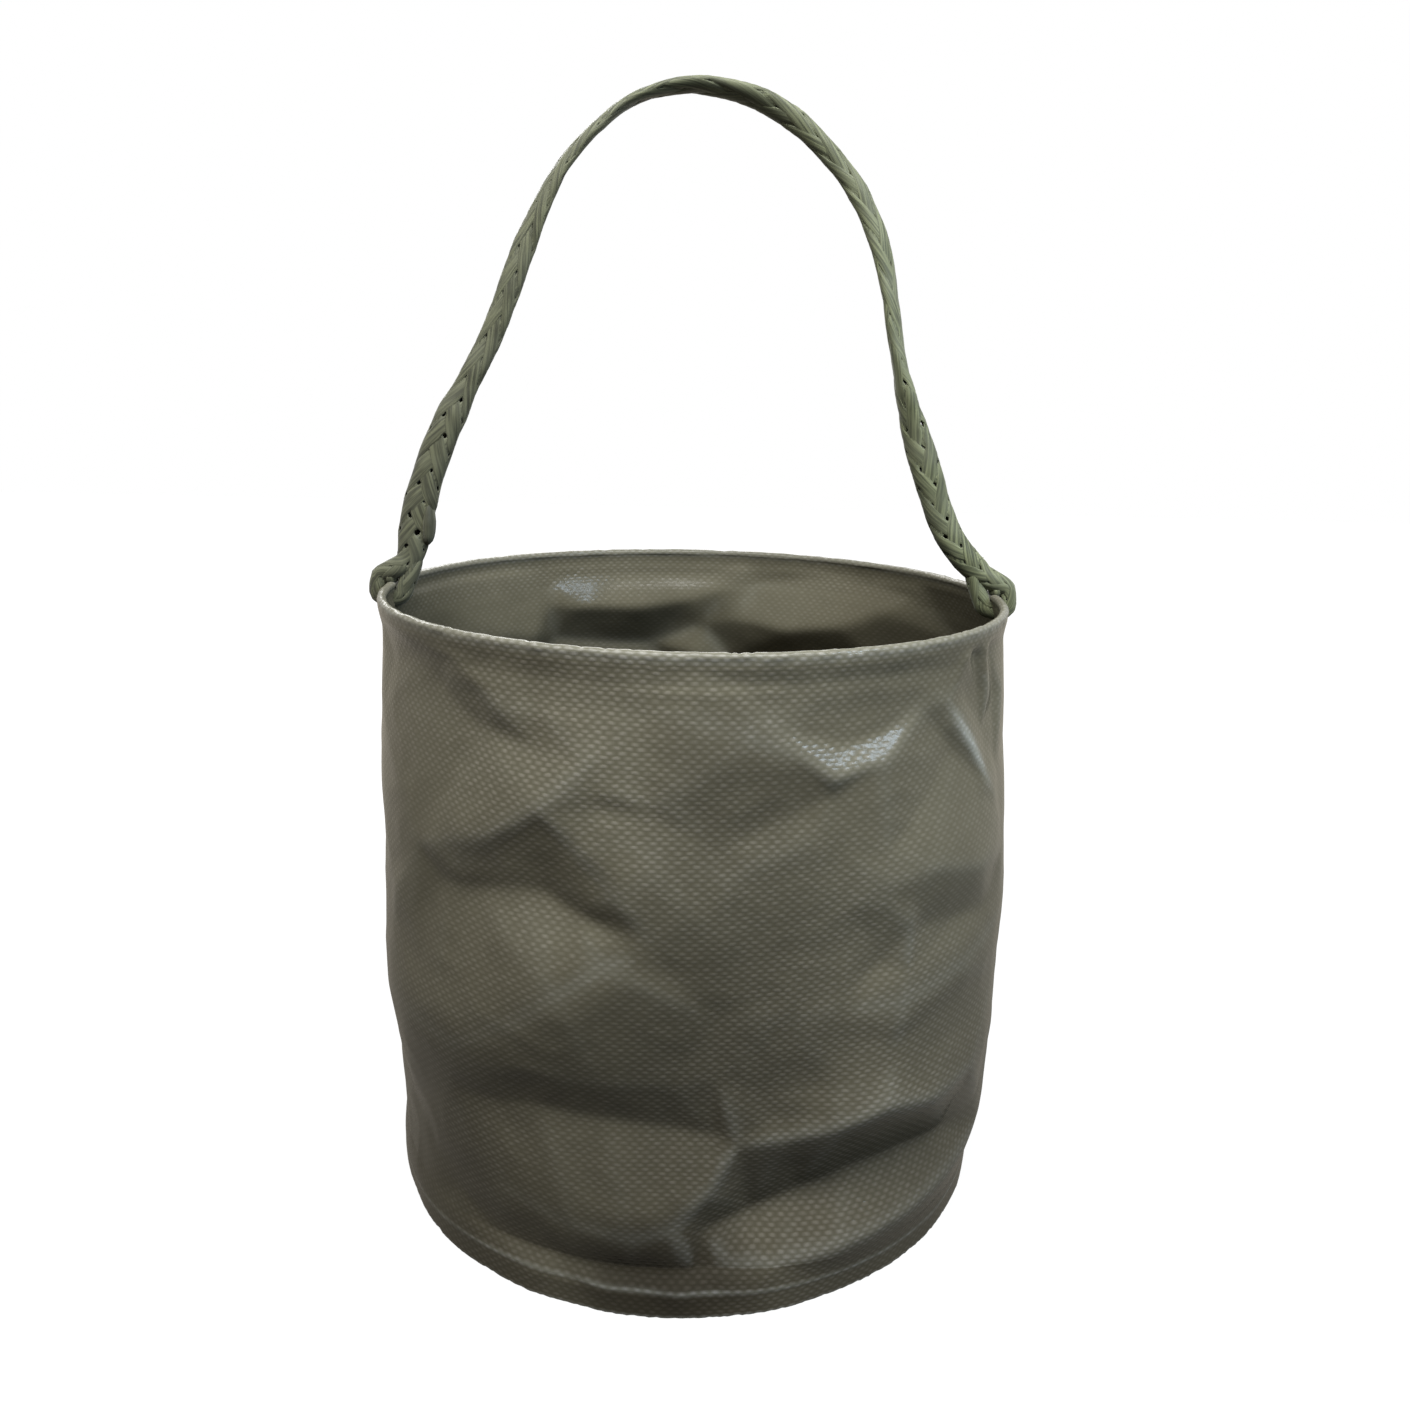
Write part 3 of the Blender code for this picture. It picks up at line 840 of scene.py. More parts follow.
# %% Fine waves
WAVE_DEPTH = 0.35
WAVES_ROUND = 4.4
WAVE_HEIGHT = 27.0
SMALL_WAVES = 2.3
SMALL_SHARE = 0.4
WRINKLES = 1.9
WRINKLE_SHARE = 1.1
WRINKLE_SEED = Vector((7.0, 3.0, 5.0))
WIDE_PUCKERS = 9.0
NARROW_PUCKERS = 17.0
NARROW_SHARE = 0.6

wave_grid = np.zeros_like(crumpled)
pucker_line = np.zeros(FINE_COLUMNS)
for column, degrees in enumerate(FINE_ANGLES):
    angle = math.radians(degrees)
    circle = Vector((math.cos(angle), math.sin(angle), 0.0))
    narrow = noise.noise(circle * NARROW_PUCKERS + Vector((0, 0, 4)))
    pucker_line[column] = noise.noise(circle * WIDE_PUCKERS) + NARROW_SHARE * narrow
    for row, height in enumerate(field_heights):
        place = circle * WAVES_ROUND + Vector((0.0, 0.0, height / WAVE_HEIGHT))
        waves = noise.noise(place) + SMALL_SHARE * noise.noise(place * SMALL_WAVES)
        wrinkle = abs(noise.noise(place * WRINKLES + WRINKLE_SEED))
        wave_grid[row, column] = waves - WRINKLE_SHARE * wrinkle

crumpled += WAVE_DEPTH * wave_grid
print("waves and wrinkles in mm:", round(float(np.abs(WAVE_DEPTH * wave_grid).max()), 2))

# %% Puckers under the bead
PUCKER_DEPTH = 0.40
PUCKER_FADE = 12.0
PUCKER_START = 4.0
HOLLOW_TOP = 229.0
CALM_TOP = 230.0
TOP_FADE = 4.0
FOOT_FADE = 9.0
FOOT_SHARE = 0.25

below_bead = HOLLOW_TOP - field_heights
pucker_share = np.exp(-np.clip(below_bead, 0, None) / PUCKER_FADE)
pucker_share = pucker_share * np.clip(below_bead / PUCKER_START, 0, 1)
crumpled += np.outer(PUCKER_DEPTH * pucker_share, pucker_line)
top_fade = np.clip((CALM_TOP - field_heights) / TOP_FADE, 0.0, 1.0)
foot_fade = np.clip((field_heights - WELD_LEVEL) / FOOT_FADE, 0.0, 1.0)
smooth_fade = (top_fade ** 2 * (3 - 2 * top_fade)) * (FOOT_SHARE + (1 - FOOT_SHARE) * foot_fade)
crumpled *= smooth_fade[:, None]
rubbed_crests_and_highlight *= smooth_fade[:, None]
print("puckers in mm:", round(PUCKER_DEPTH * float(np.abs(pucker_line).max()), 2))

# %% The dent in the base, the hollow under the bead and the loose fold below it
BASE_DENT = 3.0
BASE_DENT_ANGLE = -76
BASE_DENT_WIDTH = 22
BASE_DENT_TOP = 60
BASE_DENT_RISE = 50
HOLLOW_HEIGHT = 225.5
HOLLOW_ABOVE = 2.0
HOLLOW_BELOW = 6.0
HOLLOW_DEPTH = 0.40
LOOSE_FOLD_HEIGHT = 222.6
LOOSE_FOLD_THICKNESS = 1.5
LOOSE_FOLD_DEPTH = 0.45
LOOSE_FOLD_ANGLE = 3
LOOSE_FOLD_WIDTH = 12

dent_share = np.clip((BASE_DENT_TOP - field_heights) / BASE_DENT_RISE, 0.0, 1.0)
dent_reach = bell(signed_angles, BASE_DENT_ANGLE, BASE_DENT_WIDTH)
crumpled -= np.outer(BASE_DENT * dent_share, dent_reach)
slack = 0.8 + 0.6 * pucker_line
hollow_width = np.where(field_heights > HOLLOW_HEIGHT, HOLLOW_ABOVE, HOLLOW_BELOW)
hollow = bell(field_heights, HOLLOW_HEIGHT, hollow_width)
crumpled -= np.outer(HOLLOW_DEPTH * hollow, slack)
fold = bell(field_heights, LOOSE_FOLD_HEIGHT, LOOSE_FOLD_THICKNESS)
fold_reach = bell(signed_angles, LOOSE_FOLD_ANGLE, LOOSE_FOLD_WIDTH)
fold_reach = fold_reach * np.clip(0.7 + pucker_line, 0.2, 1.2)
crumpled += np.outer(LOOSE_FOLD_DEPTH * fold, fold_reach)
deepest, highest = float(crumpled.min()), float(crumpled.max())
print("with all of these, from", round(deepest, 2), "to", round(highest, 2), "mm")

# %% Read the creases at any height
def at_heights(field, rows):
    """A field's values in every column at the given heights in metres."""
    heights = np.asarray(rows) / MM
    columns = [np.interp(heights, field_heights, field[:, column]) for column in PICKED]
    return np.stack(columns, axis=1)


def crease_depth(rows):
    """How far the creases move the cloth, in metres."""
    return at_heights(crumpled, rows) * MM


# %% [markdown]
# ## The wall
# One strip of cloth, rolled up and lap welded at the back. It is shaped as a single skin, because
# two skins would have to be kept apart at every crease. A Solidify modifier then gives it its real
# thickness of half a millimetre. The second layer of the lap is a step of one cloth's thickness on
# the outside only, so the inner skin is moved back there.

# %% Helpers for round sheets
CRISP_EDGE_DEGREES = 50


def around_point(radius, heights):
    """Grid points at a radius and height: the front, at -Y, is angle zero."""
    x = radius * np.sin(COLUMN_ANGLES)[None, :]
    y = -radius * np.cos(COLUMN_ANGLES)[None, :]
    z = np.broadcast_to(heights, radius.shape)
    return np.stack((x, y, z), axis=-1)


def mark(piece, name, values):
    """Give every point of a piece a value that its finish can read."""
    layer = piece.data.attributes.new(name, "FLOAT", "POINT")
    layer.data.foreach_set("value", values.astype(np.float32).ravel())


def round_sheet(name, points, along, rubbed_and_highlight):
    """A closed ring of quads from a grid of points.

    along is the cloth's own height in metres, and rubbed_and_highlight says where it is worn pale,
    and on the bright fold where it is painted paler as a highlight, 0 to 1.
    """
    rows, columns = points.shape[:2]
    turns = np.append(COLUMN_ANGLES, math.tau) + math.pi
    across = turns % math.tau * MEAN_RADIUS
    steps = np.diff(turns) * MEAN_RADIUS
    faces = []
    uv = []
    for row, column, corners in ring_quads(rows, columns):
        faces.append(corners)
        left = across[column]
        right = left + steps[column]
        low, high = along[row], along[row + 1]
        uv.extend([(left, low), (right, low), (right, high), (left, high)])
    piece = mesh_object(name, points.reshape(-1, 3), faces, uv)
    mark(piece, "rubbed_and_highlight", np.broadcast_to(rubbed_and_highlight, (rows, columns)))
    return piece


def thicken(piece, thickness):
    """Give a sheet its thickness inwards, and keep its cut edges crisp."""
    bpy.ops.object.select_all(action="DESELECT")
    piece.select_set(True)
    bpy.context.view_layer.objects.active = piece
    solidify = piece.modifiers.new("cloth thickness", "SOLIDIFY")
    solidify.thickness = thickness
    solidify.offset = -1.0
    bpy.ops.object.modifier_apply(modifier=solidify.name)
    bpy.ops.object.shade_smooth_by_angle(angle=math.radians(CRISP_EDGE_DEGREES))
    piece.select_set(False)


# %% Make the wall
LAP_HALF_DEGREES = 4.2
lap_step = np.where(np.abs(np.degrees(COLUMN_ANGLES) - 180) < LAP_HALF_DEGREES, FABRIC, 0.0)


def outer_skin(rows):
    """The radius of the cloth's outer skin at each height, with its creases and its lap."""
    return plain_radius(rows)[:, None] + crease_depth(rows) + FABRIC / 2 + lap_step[None, :]


def even_lap(piece):
    """Move the inner skin of a lapped ring back in, where the outer skin steps out."""
    places = np.zeros(len(piece.data.vertices) * 3)
    piece.data.vertices.foreach_get("co", places)
    places = places.reshape(-1, COLUMNS, 3)
    inner = places[len(places) // 2:]
    inner[..., 0] -= lap_step * np.sin(COLUMN_ANGLES)
    inner[..., 1] += lap_step * np.cos(COLUMN_ANGLES)
    piece.data.vertices.foreach_set("co", places.ravel())
    piece.data.update()


def mark_inside(piece):
    """Mark the inner skin of a sheet, where the coating is thicker and hides the weave."""
    count = len(piece.data.vertices)
    mark(piece, "inner_side", np.arange(count) >= count // 2)


wall_points = around_point(outer_skin(wall_rows), wall_rows[:, None])
wall = round_sheet("wall_cloth", wall_points, wall_rows, at_heights(rubbed_crests_and_highlight, wall_rows))
thicken(wall, FABRIC)
even_lap(wall)
mark_inside(wall)
print("wall triangles:", triangle_count(wall))

# %% [markdown]
# ## The skirt
# The wall's last 17 mm are welded to the turned-down edge of the floor panel, and the weld shows as
# a pale raised line that wanders. It is the same cloth, but it stays with the base when the bucket
# folds, so it is a piece of its own. Its raw edge was cut by hand, so it wanders a little too.

# %% Make the skirt
SKIRT_ROWS = 34
WELD_HEIGHT = 0.0095
WELD_WANDER = 0.0030
WELD_RIDGE = 0.00018
WELD_WIDTH = 0.0008
WELD_RUBBED = 0.28
WELD_JITTER = 0.0003
EDGE_FLARE = 0.0005
EDGE_WANDER = 0.0006
EDGE_CUT_HEIGHT = 0.002
EDGE_RUBBED = 0.24
EDGE_RUBBED_HEIGHT = 0.0012


def ring_noise(turns, seed):
    """A random value for each column, from about -1 to 1, that changes faster with more turns."""
    reach = turns / math.tau
    places = [(math.sin(angle) * reach, math.cos(angle) * reach, seed) for angle in COLUMN_ANGLES]
    return np.array([noise.noise(Vector(place)) for place in places]) * NOISE_GAIN


skirt_rows = np.linspace(0.0, SKIRT_HEIGHT, SKIRT_ROWS + 1)
low_share = (1 - skirt_rows / SKIRT_HEIGHT)[:, None]
weld_line = WELD_HEIGHT + WELD_WANDER * ring_noise(7, 1.0) + WELD_JITTER * ring_noise(60, 3.0)
weld_share = bell(skirt_rows[:, None], weld_line[None, :], WELD_WIDTH)
weld_share = weld_share * (0.8 + 0.3 * ring_noise(90, 8.0))[None, :]
skirt_skin = outer_skin(skirt_rows) + EDGE_WANDER * ring_noise(30, 2.0)[None, :] * low_share
skirt_skin = skirt_skin + WELD_RIDGE * weld_share + EDGE_FLARE * low_share ** 2
edge_cut = EDGE_WANDER * np.abs(ring_noise(250, 5.0))
edge_share = np.clip(1 - skirt_rows / EDGE_CUT_HEIGHT, 0, 1)
skirt_heights = skirt_rows[:, None] + edge_cut[None, :] * edge_share[:, None]
skirt_points = around_point(skirt_skin, skirt_heights)
edge_rubbed = EDGE_RUBBED * np.clip(1 - skirt_rows / EDGE_RUBBED_HEIGHT, 0.0, 1.0)
skirt_rubbed = WELD_RUBBED * weld_share + edge_rubbed[:, None]
skirt = round_sheet("skirt_cloth", skirt_points, skirt_rows, skirt_rubbed)
thicken(skirt, FABRIC)
even_lap(skirt)
print("skirt triangles:", triangle_count(skirt))

# %% [markdown]
# ## The floor panel
# A round sheet with its edge turned down inside the skirt and welded there. Water and folding have
# left it slightly dished and wrinkled. A plain disc has no points inside that could be moved, so
# the panel is a fan of rings, finest at the turned edge.

# %% The floor panel's rings
PANEL_GAP = 0.0003
PANEL_EDGE = BASE_RADIUS - FABRIC / 2 - PANEL_GAP
PANEL_TURN = 0.1145
PANEL_SWELL = 0.0002
PANEL_DISH = 0.0008
PANEL_SAG = 0.0006
PANEL_RIPPLE = 0.0010
PANEL_CALM = 0.02
FLAT_RADII = (0.012, 0.030, 0.048, 0.064, 0.078, 0.090, 0.100, 0.108, PANEL_TURN, 0.1190)
TURNED_INSETS = (0.0018, 0.0006, 0.0, 0.0, 0.0)
TURNED_DROPS = (0.0002, 0.0007, 0.0020, 0.0090, 0.0165)

panel_radii = np.array(FLAT_RADII + tuple(PANEL_EDGE - inset for inset in TURNED_INSETS))
panel_drops = np.array((0.0,) * len(FLAT_RADII) + TURNED_DROPS)
panel_angles = COLUMN_ANGLES[::2]
panel_columns = len(panel_angles)
panel_creases = crease_depth(SKIRT_HEIGHT - panel_drops)[:, ::2]
panel_swell = plain_radius(SKIRT_HEIGHT - panel_drops) - BASE_RADIUS + PANEL_SWELL
print("rings in the floor panel:", len(panel_radii))


def panel_ripple(x, y):
    """Small random wrinkles of the floor panel, from about -1 to 1."""
    broad = noise.noise(Vector((x * 30, y * 30, 1.0)))
    return broad + 0.5 * noise.noise(Vector((x * 75, y * 75, 3.0)))


# %% Make the floor panel
panel_points = [(0.0, 0.0, SKIRT_HEIGHT - PANEL_DISH)]
for ring, (radius, drop) in enumerate(zip(panel_radii, panel_drops)):
    near_edge = np.clip((radius - PANEL_TURN) / (PANEL_EDGE - PANEL_TURN), 0.0, 1.0)
    calm = min((PANEL_EDGE - radius) / PANEL_CALM, 1.0)
    for column, angle in enumerate(panel_angles):
        reach = radius + near_edge * (panel_creases[ring, column] + panel_swell[ring])
        x, y = reach * math.sin(angle), -reach * math.cos(angle)
        sag = calm * (PANEL_RIPPLE * panel_ripple(x, y) - PANEL_SAG)
        panel_points.append((x, y, SKIRT_HEIGHT - drop + sag))
panel_faces = []
for column in range(panel_columns):
    panel_faces.append((0, 1 + column, 1 + (column + 1) % panel_columns))
for ring, column, (a, b, c, d) in ring_quads(len(panel_radii), panel_columns):
    panel_faces.append((1 + a, 1 + d, 1 + c, 1 + b))
print("points in one skin of the panel:", len(panel_points))

# %% [markdown]
# The UV map of the floor panel is the sheet laid out flat, so on the turned edge the distance from
# the middle grows with the depth.

# %% Lay the floor panel out flat
UNTURNED_HEIGHT = SKIRT_HEIGHT - 0.004

panel_uv = []
for face in panel_faces:
    for corner in face:
        x, y, z = panel_points[corner]
        spread = 1.0 if z > UNTURNED_HEIGHT else 1 + (SKIRT_HEIGHT - z) / PANEL_EDGE
        panel_uv.append((x * spread, y * spread))
panel = mesh_object("floor_panel", panel_points, panel_faces, panel_uv)
mark(panel, "rubbed_and_highlight", np.zeros(len(panel_points)))
thicken(panel, FABRIC)
print("floor panel triangles:", triangle_count(panel))

# %% [markdown]
# ## The rim band
# A band of the same cloth is folded over the hoop wire. It makes the round bead at the mouth, and
# its two flaps lie flat on the wall, inside and out. A torus would do for the bead, but the flaps
# have to follow the creases of the wall. So the section is drawn as one line: up the outer face,
# round the bead and down the inner face. The bead is gathered over the wire, so it is not
# perfectly even. The flaps are welded on, and no step shows where they end. So the band is given a
# thinner skin than the wall, and its flaps sink into the wall towards their lower edges.

# %% The band's sizes
BEAD_RADIUS = 0.00165
BEAD_STEPS = 14
BEAD_UNEVEN = 0.00026
BEAD_GATHERS = 22
BEAD_TWIST = 1.1
BEAD_START = math.radians(-20)
BEAD_END = math.radians(225)
BEAD_RUBBED = 0.20
BAND_SKIN = 0.00022
FLAP_STEPS = 12
FLAP_TOP = HOOP_HEIGHT - 0.0026
FLAP_GAP_HEIGHTS = (BAND_BOTTOM, 0.2240, 0.2280, FLAP_TOP)
OUTER_GAPS = (-0.00010, 0.00020, 0.00070, 0.00120)
INNER_GAPS = (-0.00010, 0.00020, 0.00040, 0.00065)
NOTCHES = 46
NOTCH_DEPTH = 0.00032

# %% The two flaps
flap_heights = np.linspace(BAND_BOTTOM, FLAP_TOP, FLAP_STEPS + 1)
outer_gap = np.interp(flap_heights, FLAP_GAP_HEIGHTS, OUTER_GAPS)[:, None]
inner_gap = np.interp(flap_heights, FLAP_GAP_HEIGHTS, INNER_GAPS)[:, None]
flap_middle = plain_radius(flap_heights)[:, None] + crease_depth(flap_heights)
outer_flap = flap_middle + FABRIC / 2 + outer_gap + lap_step[None, :]
inner_flap = flap_middle - FABRIC / 2 - inner_gap
print("rows in each flap:", len(flap_heights))

# %% The gathered bead
bead_angles = np.linspace(BEAD_START, BEAD_END, BEAD_STEPS + 1)
bead_noise = np.zeros((len(bead_angles), COLUMNS))
for step, turned in enumerate(bead_angles):
    for column, angle in enumerate(COLUMN_ANGLES):
        x, y = math.cos(angle) * BEAD_GATHERS, math.sin(angle) * BEAD_GATHERS
        bead_noise[step, column] = noise.noise(Vector((x, y, turned * BEAD_TWIST)))
notch_random = random.Random(5)
notches = np.zeros(COLUMNS)
for number in range(NOTCHES):
    notches[notch_random.randrange(COLUMNS)] = NOTCH_DEPTH * notch_random.uniform(0.4, 1.0)
bead_reach = BEAD_RADIUS + BEAD_UNEVEN * bead_noise - notches[None, :]
thinnest, thickest = float(bead_reach.min()) / MM, float(bead_reach.max()) / MM
print("bead radius from", round(thinnest, 2), "to", round(thickest, 2), "mm")
bead_radius = HOOP_RADIUS + bead_reach * np.cos(bead_angles)[:, None]
bead_height = HOOP_HEIGHT + bead_reach * np.sin(bead_angles)[:, None]

# %% Make the band
band_radius = np.concatenate((outer_flap, bead_radius, inner_flap[::-1]))
flap_grid = np.broadcast_to(flap_heights[:, None], outer_flap.shape)
band_height = np.concatenate((flap_grid, bead_height, flap_grid[::-1]))
section_step = np.hypot(np.diff(band_radius[:, 0]), np.diff(band_height[:, 0]))
band_along = BAND_BOTTOM + np.concatenate(([0.0], np.cumsum(section_step)))
flap_rubbed = np.zeros((len(outer_flap), 1))
bead_rubbed = np.full((len(bead_radius), 1), BEAD_RUBBED)
band_rubbed = np.concatenate((flap_rubbed, bead_rubbed, flap_rubbed))
band_points = around_point(band_radius, band_height)
band = round_sheet("rim_band_cloth", band_points, band_along, band_rubbed)
thicken(band, BAND_SKIN)
print("band triangles:", triangle_count(band))

# %% [markdown]
# ## Materials
# Each finish is built from nodes. A few short helpers keep the node code readable: one adds a node
# and sets its inputs, the next ones each add one kind of node and give its result, and the last one
# plugs a result into the shader.

# %% Node helpers
def new_finish(name):
    """A new material, and its Principled shader."""
    finish = bpy.data.materials.new(name)
    finish.use_nodes = True
    return finish, finish.node_tree.nodes["Principled BSDF"]


def add(finish, kind, inputs=None, **settings):
    """Add a node. An input is a number, a colour or another node's output socket."""
    node = finish.node_tree.nodes.new("ShaderNode" + kind)
    for setting, value in settings.items():
        setattr(node, setting, value)
    for name, value in (inputs or {}).items():
        if isinstance(value, bpy.types.NodeSocket):
            finish.node_tree.links.new(value, node.inputs[name])
        else:
            node.inputs[name].default_value = value
    return node


def maths(finish, operation, first, second=0.0):
    """One Math node, and its result."""
    return add(finish, "Math", {0: first, 1: second}, operation=operation).outputs[0]


def times(finish, first, second):
    """The product of two values."""
    return maths(finish, "MULTIPLY", first, second)


def remap(finish, value, low, high, to_low, to_high):
    """Carry the range from low to high over to another one, and stop at its ends."""
    ends = {0: value, 1: low, 2: high, 3: to_low, 4: to_high}
    return add(finish, "MapRange", ends).outputs[0]


def speckle(finish, place, scale, detail):
    """Soft random spots, mostly from 0.3 to 0.7. A larger scale makes smaller spots."""
    inputs = {"Vector": place, "Scale": scale, "Detail": detail}
    return add(finish, "TexNoise", inputs).outputs["Fac"]


def blend_colours(finish, share, first, second, way="MIX"):
    """Mix two colours by a share."""
    inputs = {0: share, 6: first, 7: second}
    return add(finish, "Mix", inputs, data_type="RGBA", blend_type=way).outputs[2]


def plug(finish, shader, name, value):
    """Join a node's result to one of the shader's inputs."""
    finish.node_tree.links.new(value, shader.inputs[name])


# %% [markdown]
# ### The coated fabric
# A plain weave lies under a thin glossy coat, and each yarn that passes on top shows as a small
# light bump. The yarns across are 1.95 mm apart, the rows up the cloth are 1.5 mm apart, and each
# row is staggered against the next. The height is a product of two waves, one across and one along
# the cloth, read from the UV map, which holds metres. A picture of cloth would blur from close by,
# and the waves stay sharp.

# %% The weave
YARN_ACROSS = 0.00195
YARN_UP = 0.00148
YARN_BEND = 0.0011


def weave_height(finish, uv):
    """The floats of a plain weave, from 0 to 1: each is longer across than it is high."""
    bend = add(finish, "TexNoise", {"Scale": 190.0, "Detail": 2.0, "Vector": uv}).outputs["Color"]
    nudge = add(finish, "VectorMath", {0: bend, 1: (0.5, 0.5, 0.5)}, operation="SUBTRACT")
    small = add(finish, "VectorMath", {0: nudge.outputs[0], "Scale": YARN_BEND}, operation="SCALE")
    moved = add(finish, "VectorMath", {0: uv, 1: small.outputs[0]}, operation="ADD")
    parts = add(finish, "SeparateXYZ", {0: moved.outputs[0]})
    across_wave = maths(finish, "SINE", times(finish, parts.outputs[0], math.pi / YARN_ACROSS))
    upward_wave = maths(finish, "SINE", times(finish, parts.outputs[1], math.pi / YARN_UP))
    staggered = times(finish, across_wave, maths(finish, "SIGN", upward_wave))
    share = remap(finish, staggered, -1.0, 1.0, 0.0, 1.0)
    float_shape = times(finish, share, maths(finish, "ABSOLUTE", upward_wave))
    fullness = remap(finish, speckle(finish, uv, 330.0, 2.0), 0.35, 0.65, 0.55, 1.35)
    return times(finish, float_shape, fullness)


def weave_shown(finish, place):
    """How strongly the weave shows: most at the front, less inside, and uneven everywhere."""
    inner_side = add(finish, "Attribute", attribute_name="inner_side").outputs["Fac"]
    outside = remap(finish, inner_side, 0.0, 1.0, 1.0, 0.6)
    uneven = remap(finish, speckle(finish, place, 9.0, 2.0), 0.38, 0.62, 0.60, 1.15)
    back = add(finish, "SeparateXYZ", {0: place}).outputs[1]
    to_front = remap(finish, back, -0.116, -0.085, 1.0, 0.55)
    return times(finish, outside, times(finish, uneven, to_front))


# %% [markdown]
# The coating is olive drab, lighter and darker in soft clouds. It is darker towards the ground,
# and a few deep folds at the front are painted darker as shade. It is rubbed pale along the weld,
# the bead and the sharpest crests, and the bright fold is painted a little paler as a highlight.
# Each yarn is painted lighter and bluer than the cloth round it: partly the worn top of the float,
# partly a painted glint of the cool lamp. A spot of painted shade is given by its place, its reach
# and its strength.

# %% The cloth's colours
CLOTH_DARK = (0.084, 0.077, 0.052, 1.0)
CLOTH_LIGHT = (0.128, 0.119, 0.083, 1.0)
CLOTH_LOW_DARK = (0.052, 0.046, 0.031, 1.0)
CLOTH_PAINTED_SHADE = (0.020, 0.017, 0.011, 1.0)
CLOTH_RUBBED_AND_HIGHLIGHT = (0.290, 0.295, 0.255, 1.0)
# Spots of painted shade, where folds at the front fall into shade: place, reach and strength.
PAINTED_SHADE_SPOTS = [
    ((-0.016, -0.122, 0.012), 0.030, 0.75), ((0.004, -0.124, 0.012), 0.030, 0.75),
    ((0.008, -0.122, 0.092), 0.060, 0.30), ((0.018, -0.120, 0.145), 0.050, 0.16),
    ((0.014, -0.121, 0.192), 0.034, 0.32),
]


def cloth_colour(finish, place, rubbed_and_highlight, weave):
    """The colour of the coating: clouds, darker low down, painted shade in dark folds, rubbed places
    with a painted highlight, and yarns with painted glints.
    """
    cloud = speckle(finish, place, 18.0, 5.0)
    tone = remap(finish, cloud, 0.35, 0.65, 0.35, 0.85)
    colour = blend_colours(finish, tone, CLOTH_DARK, CLOTH_LIGHT)
    height = add(finish, "SeparateXYZ", {0: place}).outputs[2]
    darker_below = remap(finish, height, 0.01, 0.18, 0.85, 0.0)
    darker_below = times(finish, darker_below, remap(finish, cloud, 0.3, 0.7, 0.7, 1.2))
    colour = blend_colours(finish, darker_below, colour, CLOTH_LOW_DARK)
    # Darken the colour in each spot, as painted shade.
    for spot, reach, share in PAINTED_SHADE_SPOTS:
        away = add(finish, "VectorMath", {0: place, 1: spot}, operation="DISTANCE")
        fade = remap(finish, away.outputs["Value"], reach / 3, reach, share, 0.0)
        colour = blend_colours(finish, fade, colour, CLOTH_PAINTED_SHADE)
    colour = blend_colours(finish, rubbed_and_highlight, colour, CLOTH_RUBBED_AND_HIGHLIGHT)
    # The yarns are painted lighter and bluer: partly the worn tops of the floats, partly a painted
    # glint.
    yarn_light_and_glint = remap(finish, weave, 0.0, 1.0, 0.82, 1.42)
    yarn_painted_blue_glint = remap(finish, weave, 0.0, 1.0, 0.80, 1.58)
    yarn_tint_and_glint = add(finish, "CombineColor", {0: yarn_light_and_glint, 1: yarn_light_and_glint, 2: yarn_painted_blue_glint}).outputs[0]
    return blend_colours(finish, 1.0, colour, yarn_tint_and_glint, way="MULTIPLY")


# %% [markdown]
# The cloth's own surface is dull, and the coat over it gives the gloss. Both follow the weave with
# a bump, the coat more strongly, because the coat is what glints on each yarn.

# %% The cloth's finish
def make_cloth():
    """Coated cloth, with its colours, its weave, small scuffs and a gloss coat."""
    finish, shader = new_finish("coated_fabric")
    uv = add(finish, "UVMap", uv_map="UVMap").outputs[0]
    place = add(finish, "TexCoord").outputs["Object"]
    rubbed_and_highlight = add(finish, "Attribute", attribute_name="rubbed_and_highlight").outputs["Fac"]
    weave = times(finish, weave_height(finish, uv), weave_shown(finish, place))
    plug(finish, shader, "Base Color", cloth_colour(finish, place, rubbed_and_highlight, weave))
    scuffs = speckle(finish, place, 420.0, 2.0)
    rough = remap(finish, scuffs, 0.3, 0.7, 0.42, 0.55)
    rough = maths(finish, "ADD", rough, times(finish, rubbed_and_highlight, 0.15))
    plug(finish, shader, "Roughness", rough)
    grain = {"Strength": 0.25, "Distance": 0.0001, "Height": scuffs}
    grain = add(finish, "Bump", grain).outputs[0]
    for name, strength, depth in (("Normal", 0.5, 0.00008), ("Coat Normal", 1.0, 0.00011)):
        woven = {"Strength": strength, "Distance": depth, "Height": weave, "Normal": grain}
        plug(finish, shader, name, add(finish, "Bump", woven).outputs[0])
    shader.inputs["Specular IOR Level"].default_value = 0.0
    shader.inputs["Coat Weight"].default_value = 0.42
    shader.inputs["Coat IOR"].default_value = 1.32
    shader.inputs["Coat Roughness"].default_value = 0.20
    return finish


coated_fabric = make_cloth()
print("nodes in the cloth's finish:", len(coated_fabric.node_tree.nodes))

# %% [markdown]
# ### The rope
# Flat fibres lie side by side in each strand. Modelled one by one they would take far too many
# faces, so the colour and the bump are long thin streaks along the strand. The UV map gives the
# distance across and along it. The rope is painted greyer and darker at the left, as shade, and
# greener and lighter at the right, as light. It is paler where it is worn.

# %% Rope finish
ROPE_DARK_IN_PAINTED_SHADE = (0.023, 0.024, 0.012, 1.0)
ROPE_DARK_IN_PAINTED_LIGHT = (0.034, 0.040, 0.018, 1.0)
ROPE_LIGHT_IN_PAINTED_SHADE = (0.090, 0.093, 0.053, 1.0)
ROPE_LIGHT_IN_PAINTED_LIGHT = (0.136, 0.150, 0.078, 1.0)
ROPE_WORN = (0.137, 0.143, 0.098, 1.0)
FIBRE_STRETCH = (1500.0, 45.0, 1.0)


